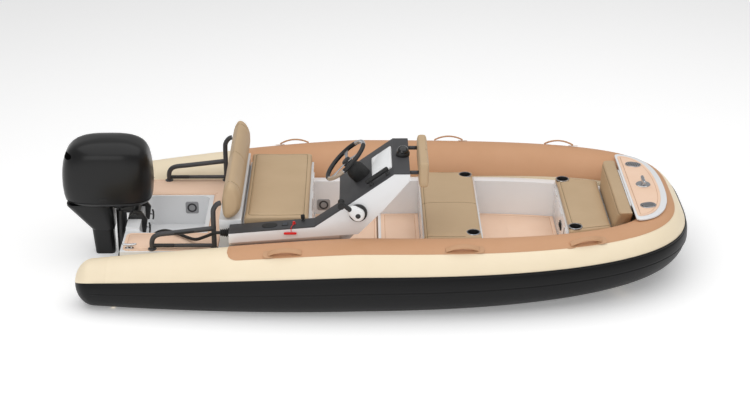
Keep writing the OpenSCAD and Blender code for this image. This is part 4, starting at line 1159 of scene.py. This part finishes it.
# Powder coat: dark grey, semi-matt, with a fine orange peel
dark_powder, dark_shader = new_material("dark_powder_coated_tube", "#414143", 0.4, ior=1.5)
grained(dark_powder, dark_shader, 260.0, 0.12, 0.0008)
both_sides = (("port", 1), ("starboard", -1))
for label, s in both_sides:
    y = 0.560 * s
    hoop = smooth_path([(-1.440, y, 0.2815), (-1.440, y, 0.300), (-1.440, y, 0.325),
        (-1.434, y, 0.352), (-1.418, y, 0.373), (-1.390, y, 0.386), (-1.345, y, 0.3925),
        (-1.300, y, 0.397), (-1.035, y, 0.428)], 6)
    rail = pipe("rail_hoop_" + label, hoop, 0.0164, dark_powder, sides=24, slot="grey_tube")
    post = smooth_path([(-1.035, y, 0.2815), (-1.035, y, 0.40), (-1.035, y, 0.530),
        (-1.030, y, 0.565), (-1.016, y, 0.589), (-1.000, y, 0.603), (-0.984, y, 0.608)], 6)
    pipe("rail_post_" + label, post, 0.0164, dark_powder, sides=24, slot="grey_tube")
    pipe("rail_base_aft_" + label, [(-1.434 + 0.014 * k, y, 0.3065) for k in range(11)], 0.0130,
        black_abs, sides=24, slot="black_plastic")
    pipe("rail_base_" + label, [(-1.296 + 0.0269 * k, y, 0.3065) for k in range(11)], 0.0125,
        dark_powder, sides=24, slot="grey_tube")
    pad = [Vector((-1.290 + 0.013 * k, y + s * 0.0150, 0.3985 + 0.00152 * k)) for k in range(11)]
    pipe("rail_pad_" + label, pad, 0.0062, soft_rubber, sides=16, slot="black_plastic")
    for name, x in (("aft", -1.440), ("fore", -1.035)):
        turned("rail_flange_%s_%s" % (name, label), [(0.0166, 0), (0.028, 0), (0.0285, 0.002),
            (0.027, 0.0045), (0.020, 0.006), (0.0166, 0.0075)], dark_powder, (x, y, 0.2813),
            slot="grey_tube")
    if s > 0:
        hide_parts("stern_rails")


# ---- Deck fittings ----
# Cast and polished stainless steel: a bow cleat on a round base, two louvred oval vents let into
# the bow deck, two small cleats at the stern, and towing eyes at the stem and the transom.
def cleat(name, centre, size, spin, base, thick):
    """A horn cleat: two legs off a base and one bar swept up to its tips."""
    turn = Matrix.Rotation(spin, 3, "Z") * size
    bar = [Vector(centre) + turn @ Vector((x, 0, 0.030 + 0.007 * (abs(x) / 0.060) ** 2))
        for x in [-0.0595 + 0.0595 * k / 10 for k in range(21)]]
    radii = [size * (0.0062 + thick * math.sqrt(max(0.0, 1 - abs(k / 10 - 1) ** 3)))
        for k in range(21)]
    made = pipe(name + "_horns", bar, radii, polished_steel, sides=16, slot="stainless")
    for label, x in (("aft", -0.016), ("fore", 0.016)):
        foot = [Vector(centre) + turn @ Vector((x, 0, z)) for z in (0.002, 0.008, 0.016, 0.024,
            0.031)]
        pipe(name + "_leg_" + label, foot, [size * (r + thick / 2)
            for r in (0.0085, 0.0066, 0.0056, 0.0058, 0.0064)], polished_steel, sides=16,
            slot="stainless")
    if base == "round":
        turned(name + "_base", [(0, 0), (0.0495, 0), (0.0500, 0.002), (0.047, 0.0055),
            (0.030, 0.0085), (0, 0.010)], polished_steel, centre, sides=40, slot="stainless")
    else:
        slab(name + "_base", 0.035 * size, 0.018 * size, 0, 0.006 * size, 0.017 * size,
            polished_steel, centre, Matrix.Rotation(spin, 3, "Z"), 0.0015, slot="stainless")
    return made


fitting_z = 0.4806
bow_cleat = cleat("bow_cleat", (1.830, 0, fitting_z), 1.0, pi / 2, "round", 0.0075)
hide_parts("deck_fittings")
for label, s in both_sides:
    cleat("stern_cleat_" + label, (-1.590, 0.545 * s, 0.2813), 0.8, 0, "plate", 0.0040)
    centre, turn = Vector((1.812, 0.342 * s, fitting_z)), Matrix.Rotation(-s * math.radians(20), 3,
        "Z")
    slab("vent_rim_" + label, 0.055, 0.042, 0, 0.0045, 0.0400, polished_steel, centre, turn, 0.002,
        slot="stainless")
    # A glossy near-black sheet inside the rim, under the louvres: painted shade for the open duct
    # below
    slab("vent_shade_sheet_" + label, 0.047, 0.034, 0.0045, 0.0049, 0.0325, smoked_acrylic, centre, turn,
        0.0002, slot="stainless")
    for k in range(7):
        x = -0.036 + 0.012 * k
        half = 0.0335 * math.sqrt(1 - (x / 0.048) ** 2)
        slab("vent_louvre_%s_%d" % (label, k), 0.0034, half, 0.0045, 0.0078, 0.002, polished_steel,
            centre + turn @ Vector((x, 0, 0)), turn, 0.0012, slot="stainless")


def towing_eye(name, centre, turn):
    """A forged ring with a rounded section."""
    rings = []
    for k in range(33):
        a = 2 * pi * k / 32
        rings.append([Vector(centre) + turn @ Vector(((0.0175 + r) * math.cos(a), (0.0175 + r)
            * math.sin(a), h)) for r, h in ((-0.0062, 0), (-0.0052, 0.0045), (-0.0025, 0.0066),
            (0.0015, 0.0068), (0.0048, 0.0050), (0.0064, 0), (0.0048, -0.0050), (0.0015, -0.0068),
            (-0.0025, -0.0066), (-0.0052, -0.0045))])
    mesh_piece(name, *loft(rings, caps=False)[:2], polished_steel, slot="stainless")


upright = Matrix.Rotation(pi / 2, 3, "X")
towing_eye("stem_eye", (1.7194, 0, 0.0083), upright)
eye_y, eye_z = 0.420, 0.100
for label, s in both_sides:
    towing_eye("stern_eye_" + label, (-1.6743, eye_y * s, eye_z), Matrix.Identity(3))
for label, s in both_sides:
    turned("stern_eye_flange_" + label, [(0, 0), (0.020, 0), (0.0205, 0.0015), (0.018, 0.0042),
        (0, 0.0045)], polished_steel, (-1.6502, eye_y * s, eye_z),
        Matrix.Rotation(-pi / 2, 3, "Y"), slot="stainless")


# ---- Access plates and latch ----
# Square plastic hatch frames with a round screw-in lid, in the motor well and the cockpit side,
# and the black latch on the bow locker's door.

# Moulded grey polypropylene: waxy and slightly mottled
grey_poly, poly_shader = new_material("moulded_grey_polypropylene", "#9c9c9e", 0.45, ior=1.49)
grained(grey_poly, poly_shader, 240.0, 0.15, 0.0008)
facing_starboard = Matrix(((1, 0, 0), (0, 0, -1), (0, 1, 0)))
for label, x, y, z, half_x, half_z in (("well", -1.260, 0.2997, 0.186, 0.045, 0.044),
        ("cockpit", -0.346, 0.5197, 0.104, 0.046, 0.042)):
    centre = (x, y, z)
    plate = slab("hatch_frame_" + label, half_x, half_z, 0, 0.0042, 0.014, grey_poly, centre,
        facing_starboard, 0.0015, slot="grey_plastic")
    turned("hatch_lid_" + label, [(0.0335, 0.0040), (0.0335, 0.0052), (0.031, 0.0062),
        (0.029, 0.0048), (0.026, 0.0046), (0.0245, 0.0058), (0.0235, 0.0058), (0.022, 0.0046),
        (0, 0.0046)], grey_trim, centre, facing_starboard, sides=40, slot="grey_plastic")
    turned("hatch_centre_" + label, [(0.0, 0.0046), (0.0215, 0.0046), (0.0208, 0.0056),
        (0, 0.0058)], grey_poly, centre, facing_starboard, sides=40, slot="grey_plastic")
    slab("hatch_grip_" + label, 0.019, 0.0042, 0.0046, 0.0074, 0.003, grey_poly, centre,
        facing_starboard @ Matrix.Rotation(math.radians(40), 3, "Z"), 0.001, slot="grey_plastic")
    if label == "well":
        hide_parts("access_plates")
facing_aft = Matrix(((0, 0, -1), (-1, 0, 0), (0, 1, 0)))
latch = slab("latch_body", 0.032, 0.0275, 0.0003, 0.0085, 0.006, black_abs, (1.286, 0, 0.1775),
    facing_aft, 0.0015, slot="black_plastic")
slab("latch_paddle", 0.022, 0.013, 0.0085, 0.0138, 0.005, soft_rubber, (1.286, 0, 0.1815),
    facing_aft, 0.002, slot="black_plastic")
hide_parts("locker_latch")
# Bright wire stay that holds the locker's door, in its clips
stay = smooth_path([(1.2845, -0.120, 0.080), (1.2845, -0.165, 0.170), (1.2845, -0.205, 0.255)], 4)
pipe("door_stay", stay, 0.0022, dark_anodised, sides=10, slot="stainless")


# ---- Cable boots and rigging hose ----
# Ribbed rubber bellows where the cables leave the console and enter the well, and the black hose
# that carries the engine's cables over the side deck.

# Black EPDM rubber, dull, with a dusty bloom
epdm_rubber, epdm_shader = new_material("black_epdm_rubber", "#151515", 0.6, ior=1.52)
bloom = add(epdm_rubber, "TexNoise", Scale=30.0, Detail=4.0, Vector=add(epdm_rubber,
    "TexCoord").outputs["Object"])
feed(epdm_rubber, epdm_shader, Base_Color=add(epdm_rubber, "Mix", rgba, i6=linear("#131313"),
    i7=linear("#1f1f1f"), Factor=bloom).outputs[2])
bellows = [(0.0, 0.0), (0.028, 0.0), (0.029, 0.002)]
for k in range(5):
    inner, outer = 0.0205 - 0.001 * k, 0.0295 - 0.002 * k
    for h, f in ((0.0035, 1.0), (0.0055, 1.02), (0.0075, 1.0), (0.0095, 0.35), (0.0112, 0.0),
            (0.0125, 0.25)):
        if k < 4 or h < 0.0112:
            bellows.append((inner + (outer - inner) * f, 0.012 * k + h))
bellows += [(0.0135, 0.0588), (0.0, 0.0590)]
aftward = Matrix.Rotation(-pi / 2, 3, "Y")
boot = turned("module_boot", bellows, epdm_rubber, (-0.9303, -0.620, 0.425), aftward, sides=32,
    slot="black_plastic")
turned("well_boot", bellows, epdm_rubber, (-1.1303, -0.150, 0.150), aftward, sides=32,
    slot="black_plastic")
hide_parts("cable_boots")
hose_points = [(-0.990, -0.620, 0.425), (-1.008, -0.620, 0.425), (-1.030, -0.610, 0.417),
    (-1.060, -0.590, 0.395), (-1.110, -0.545, 0.355), (-1.160, -0.495, 0.318),
    (-1.210, -0.440, 0.302), (-1.270, -0.385, 0.300), (-1.330, -0.335, 0.298),
    (-1.385, -0.300, 0.291), (-1.430, -0.266, 0.266), (-1.470, -0.240, 0.234),
    (-1.510, -0.222, 0.205), (-1.535, -0.215, 0.200), (-1.5595, -0.215, 0.200)]
hose_line = smooth_path(hose_points, 6)
hose = pipe("rigging_hose_skin", hose_line, 0.0105, epdm_rubber, sides=16, slot="hose_rubber")
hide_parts("rigging_hose")
turned("hose_gland", [(0.0106, 0), (0.021, 0), (0.0215, 0.003), (0.0195, 0.006), (0.0165, 0.0075),
    (0.0160, 0.013), (0.0106, 0.014)], black_abs, (-1.5598, -0.215, 0.200),
    Matrix.Rotation(pi / 2, 3, "Y"), slot="black_plastic")


# ---- Clamp bracket ----
# The engine hangs on a pair of black cast plates bolted through the transom, with clamp screws,
# and tilts on a pin through them.

# Cast aluminium under satin black paint, slightly grainy
satin_black, satin_shader = new_material("satin_black_painted_casting", "#1b1b1c", 0.36, ior=1.5,
    Coat_Weight=0.15)
grained(satin_black, satin_shader, 160.0, 0.18, 0.001, Detail=3.0)
moulding("clamp_bracket", "clamp_bracket_casting", satin_black, 0.003)
for label, s in both_sides:
    y = 0.107 * s
    screw = [(-1.5345, y, 0.226), (-1.520, y, 0.226), (-1.512, y, 0.226)]
    pipe("clamp_screw_" + label, screw, 0.0075, polished_steel, sides=16, slot="bracket_paint")
    handle = smooth_path([(-1.511, y - 0.004, 0.262), (-1.508, y, 0.244), (-1.507, y, 0.226),
        (-1.508, y, 0.206), (-1.512, y + 0.002, 0.186)], 5)
    pipe("clamp_handle_" + label, handle, 0.0062, satin_black, sides=14, slot="bracket_paint")
    pin_end = (-1.600, 0.1165 * s, 0.320)
    turned("tilt_nut_" + label, [(0.0, 0.0), (0.019, 0.0), (0.019, 0.006), (0.0165, 0.0085),
        (0, 0.0085)], satin_black, pin_end, Matrix.Rotation(-s * pi / 2, 3, "X"), sides=6,
        slot="bracket_paint")
moulding("swivel_bracket", "swivel_casting", satin_black, 0.004, body="tilt_unit")


# ---- Outboard engine ----
# A four-stroke outboard: a moulded cowl over the power head, a lower cover, and the leg down to
# the gear case, with its plates, skeg and propeller. All of it is gloss black over cast alloy.

# Two-pack gloss paint: deep, with a clear coat that keeps highlights narrow and soft-edged
gloss_black, gloss_shader = new_material("gloss_black_engine_paint", "#0e0e0f", 0.33, ior=1.5,
    Coat_Weight=0.2, Specular_IOR_Level=0.3, Coat_Roughness=0.16)
place = add(gloss_black, "TexCoord").outputs["Object"]
peel = add(gloss_black, "TexNoise", Vector=place, Scale=120.0, Detail=1.0)
dust = add(gloss_black, "TexNoise", Vector=place, Scale=5.0, Detail=5.0)
feed(gloss_black, gloss_shader, Roughness=add(gloss_black, "MapRange", Value=dust, To_Min=0.28,
    To_Max=0.40), Normal=add(gloss_black, "Bump", Height=peel, Strength=0.04, Distance=0.001))
# Height, aft and forward ends and half width of each level of the cowl
cowl_levels = [(0.4003, -2.043, -1.507, 0.154), (0.408, -2.055, -1.500, 0.162),
    (0.420, -2.067, -1.492, 0.171), (0.4255, -2.0705, -1.4905, 0.1735),
    (0.4275, -2.067, -1.494, 0.170), (0.4305, -2.067, -1.494, 0.170),
    (0.4325, -2.073, -1.489, 0.1755), (0.460, -2.079, -1.485, 0.180),
    (0.520, -2.0845, -1.4805, 0.1845), (0.580, -2.084, -1.480, 0.185),
    (0.640, -2.079, -1.483, 0.1846), (0.690, -2.070, -1.489, 0.1825),
    (0.735, -2.056, -1.499, 0.178), (0.765, -2.041, -1.512, 0.171), (0.788, -2.020, -1.530, 0.160),
    (0.805, -1.997, -1.552, 0.146), (0.820, -1.965, -1.582, 0.126), (0.832, -1.925, -1.618, 0.101),
    (0.840, -1.880, -1.660, 0.070), (0.844, -1.838, -1.702, 0.038), (0.8455, -1.800, -1.740, 0.018)]


def cowl_at(z, x0, x1, half, angle, off):
    """A point off the cowl's skin at a level, which is a rounded square, at an angle round it."""
    c, s = math.cos(angle), math.sin(angle)
    squareness = 2 / 3.2
    return Vector(((x0 + x1) / 2 + ((x1 - x0) / 2 + off) * math.copysign(abs(c) ** squareness, c),
        (half + off) * math.copysign(abs(s) ** squareness, s), z))


def cowl_ring(level, off=0.0, sides=72):
    """The cowl's outline at a level."""
    return [cowl_at(*level, 2 * pi * k / sides, off) for k in range(sides)]


def cowl_point(z, angle, off):
    """A point off the cowl's skin at any height."""
    above = next(k for k, level in enumerate(cowl_levels) if level[0] >= z)
    low, high = cowl_levels[above - 1], cowl_levels[above]
    f = (z - low[0]) / (high[0] - low[0])
    return cowl_at(z, *(a + (b - a) * f for a, b in zip(low[1:], high[1:])), angle, off)


cowl = mesh_piece("engine_cowl", *loft([cowl_ring(level) for level in cowl_levels])[:2],
    gloss_black, body="outboard", slot="engine_paint", hard=40)
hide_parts("cowl", "powerhead")
# Rubber seal that shows as a dark line between the cowl and the lower cover
seal_rings = [cowl_ring((z, -2.067, -1.494, 0.170), -0.0015) for z in (0.4278, 0.4302)]
mesh_piece("cowl_seal", *loft(seal_rings, caps=False)[:2], epdm_rubber, body="outboard",
    slot="black_plastic")
# A near-black sheet on the air intake, painted shade for its dark opening, so it gives back almost
# nothing
intake_shade_paint, _ = new_material("black_painted_intake_shade", "#030303", 1.0, ior=1.4, Specular_IOR_Level=0.05)
# The air intake at the cowl's upper aft corners as a sheet of painted shade, and the latch's slot
# low on each side
for label, s in both_sides:
    rings = []
    for k in range(13):
        a = math.radians(180 - s * (8 + 36 * k / 12))
        half = 0.019 * math.sqrt(max(0.03, 1 - (k / 6 - 1) ** 4))
        rings.append([cowl_point(0.748 + h, a, off) for off, h in ((-0.006, half), (0.0008, half),
            (0.0012, 0), (0.0008, -half), (-0.006, -half))])
    mesh_piece("cowl_intake_shade_sheet_" + label, *loft(rings)[:2], intake_shade_paint, body="outboard",
        slot="black_plastic")
    slab("cowl_latch_" + label, 0.024, 0.0045, 0.0, 0.0012, 0.0043, soft_rubber,
        (-1.800, 0.1803 * s, 0.462), Matrix(((1, 0, 0), (0, 0, s), (0, 1, 0))), 0.0004,
        body="outboard", slot="black_plastic")
moulding("outboard_leg", "outboard_leg_casting", gloss_black, 0.006,
    body="outboard", sharp=24)


# ---- Propeller ----
# Three cast aluminium blades on a through-hub, painted black with the leg. Their pitch falls
# from root to tip.
prop_x, prop_z = -1.975, -0.345


def blade(turn_by):
    """Rings of one blade from root to tip; each is a thin section set at a falling pitch."""
    rings = []
    for k in range(11):
        f = k / 10
        r = 0.040 + 0.112 * f
        chord = 0.060 * (0.62 + 0.9 * f - 1.35 * f ** 3.2)
        pitch = math.radians(62 - 34 * f)
        thick = 0.0075 * (1 - f) + 0.0018
        skew = 0.22 * f ** 2
        ring = []
        for u, t in ((-1, 0), (-0.6, 0.7), (0, 1), (0.6, 0.7), (1, 0), (0.6, -0.7), (0, -1),
                (-0.6, -0.7)):
            along = u * chord / 2 * math.cos(pitch) - t * thick / 2 * math.sin(pitch)
            round_by = (u * chord / 2 * math.sin(pitch) + t * thick / 2
                * math.cos(pitch)) / r + skew
            a = turn_by + round_by
            ring.append(Vector((prop_x - along, r * math.cos(a), prop_z + r * math.sin(a))))
        rings.append(ring)
    return rings


along_shaft = Matrix.Rotation(pi / 2, 3, "Y")
hub = turned("propeller_hub", [(0.0121, -0.047), (0.036, -0.0475), (0.041, -0.044),
    (0.0445, -0.020), (0.0455, 0.015), (0.0455, 0.045), (0.044, 0.0475), (0.0121, 0.0475)],
    satin_black, (prop_x, 0, prop_z), along_shaft, sides=48, body="prop", slot="engine_paint")
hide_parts("propeller")
for number in range(3):
    mesh_piece("propeller_blade_%d" % number, *loft(blade(2 * pi * number / 3))[:2], satin_black,
        body="prop", slot="engine_paint", hard=60)


# ---- Water level, light and backdrop ----
# A pale floor at the waterline, one wide soft light overhead and a weaker one in front, as in
# a white studio.
floor_mesh = bpy.data.meshes.new("studio_floor")
floor_mesh.from_pydata([(-60, -40, 0), (60, -40, 0), (60, 80, 0), (-60, 80, 0)], [], [(0, 1, 2, 3)])
# Matt white paint, lit from within like a light table, so that only a soft shade stays under
# the boat
paint, _ = new_material("matt_white_floor_paint", "#fdfdfd", 0.9, Emission_Color=(1, 1, 1, 1),
    Emission_Strength=0.22)
floor_mesh.materials.append(paint)
floor = bpy.data.objects.new("studio_floor", floor_mesh)
scene.collection.objects.link(floor)


def soft_light(name, place, aim, size, power):
    """A white soft box at a place, aimed at a point."""
    lamp = bpy.data.lights.new(name, "AREA")
    lamp.shape = "RECTANGLE"
    lamp.size, lamp.size_y = size
    lamp.energy = power
    lamp.color = (1, 1, 1)
    made = bpy.data.objects.new(name, lamp)
    made.location = place
    made.rotation_euler = (Vector(aim) - Vector(place)).to_track_quat("-Z", "Y").to_euler()
    scene.collection.objects.link(made)


soft_light("overhead", (0.4, -0.6, 5.2), (0.2, 0.2, 0), (11.0, 9.0), 285)
soft_light("front_fill", (-3.0, -8.0, 3.0), (0, 0, 0.2), (5.0, 3.0), 66)
world = bpy.data.worlds.new("studio")
world.use_nodes = True
world.node_tree.nodes["Background"].inputs["Color"].default_value = (1, 1, 1, 1)
world.node_tree.nodes["Background"].inputs["Strength"].default_value = 0.42
scene.world = world
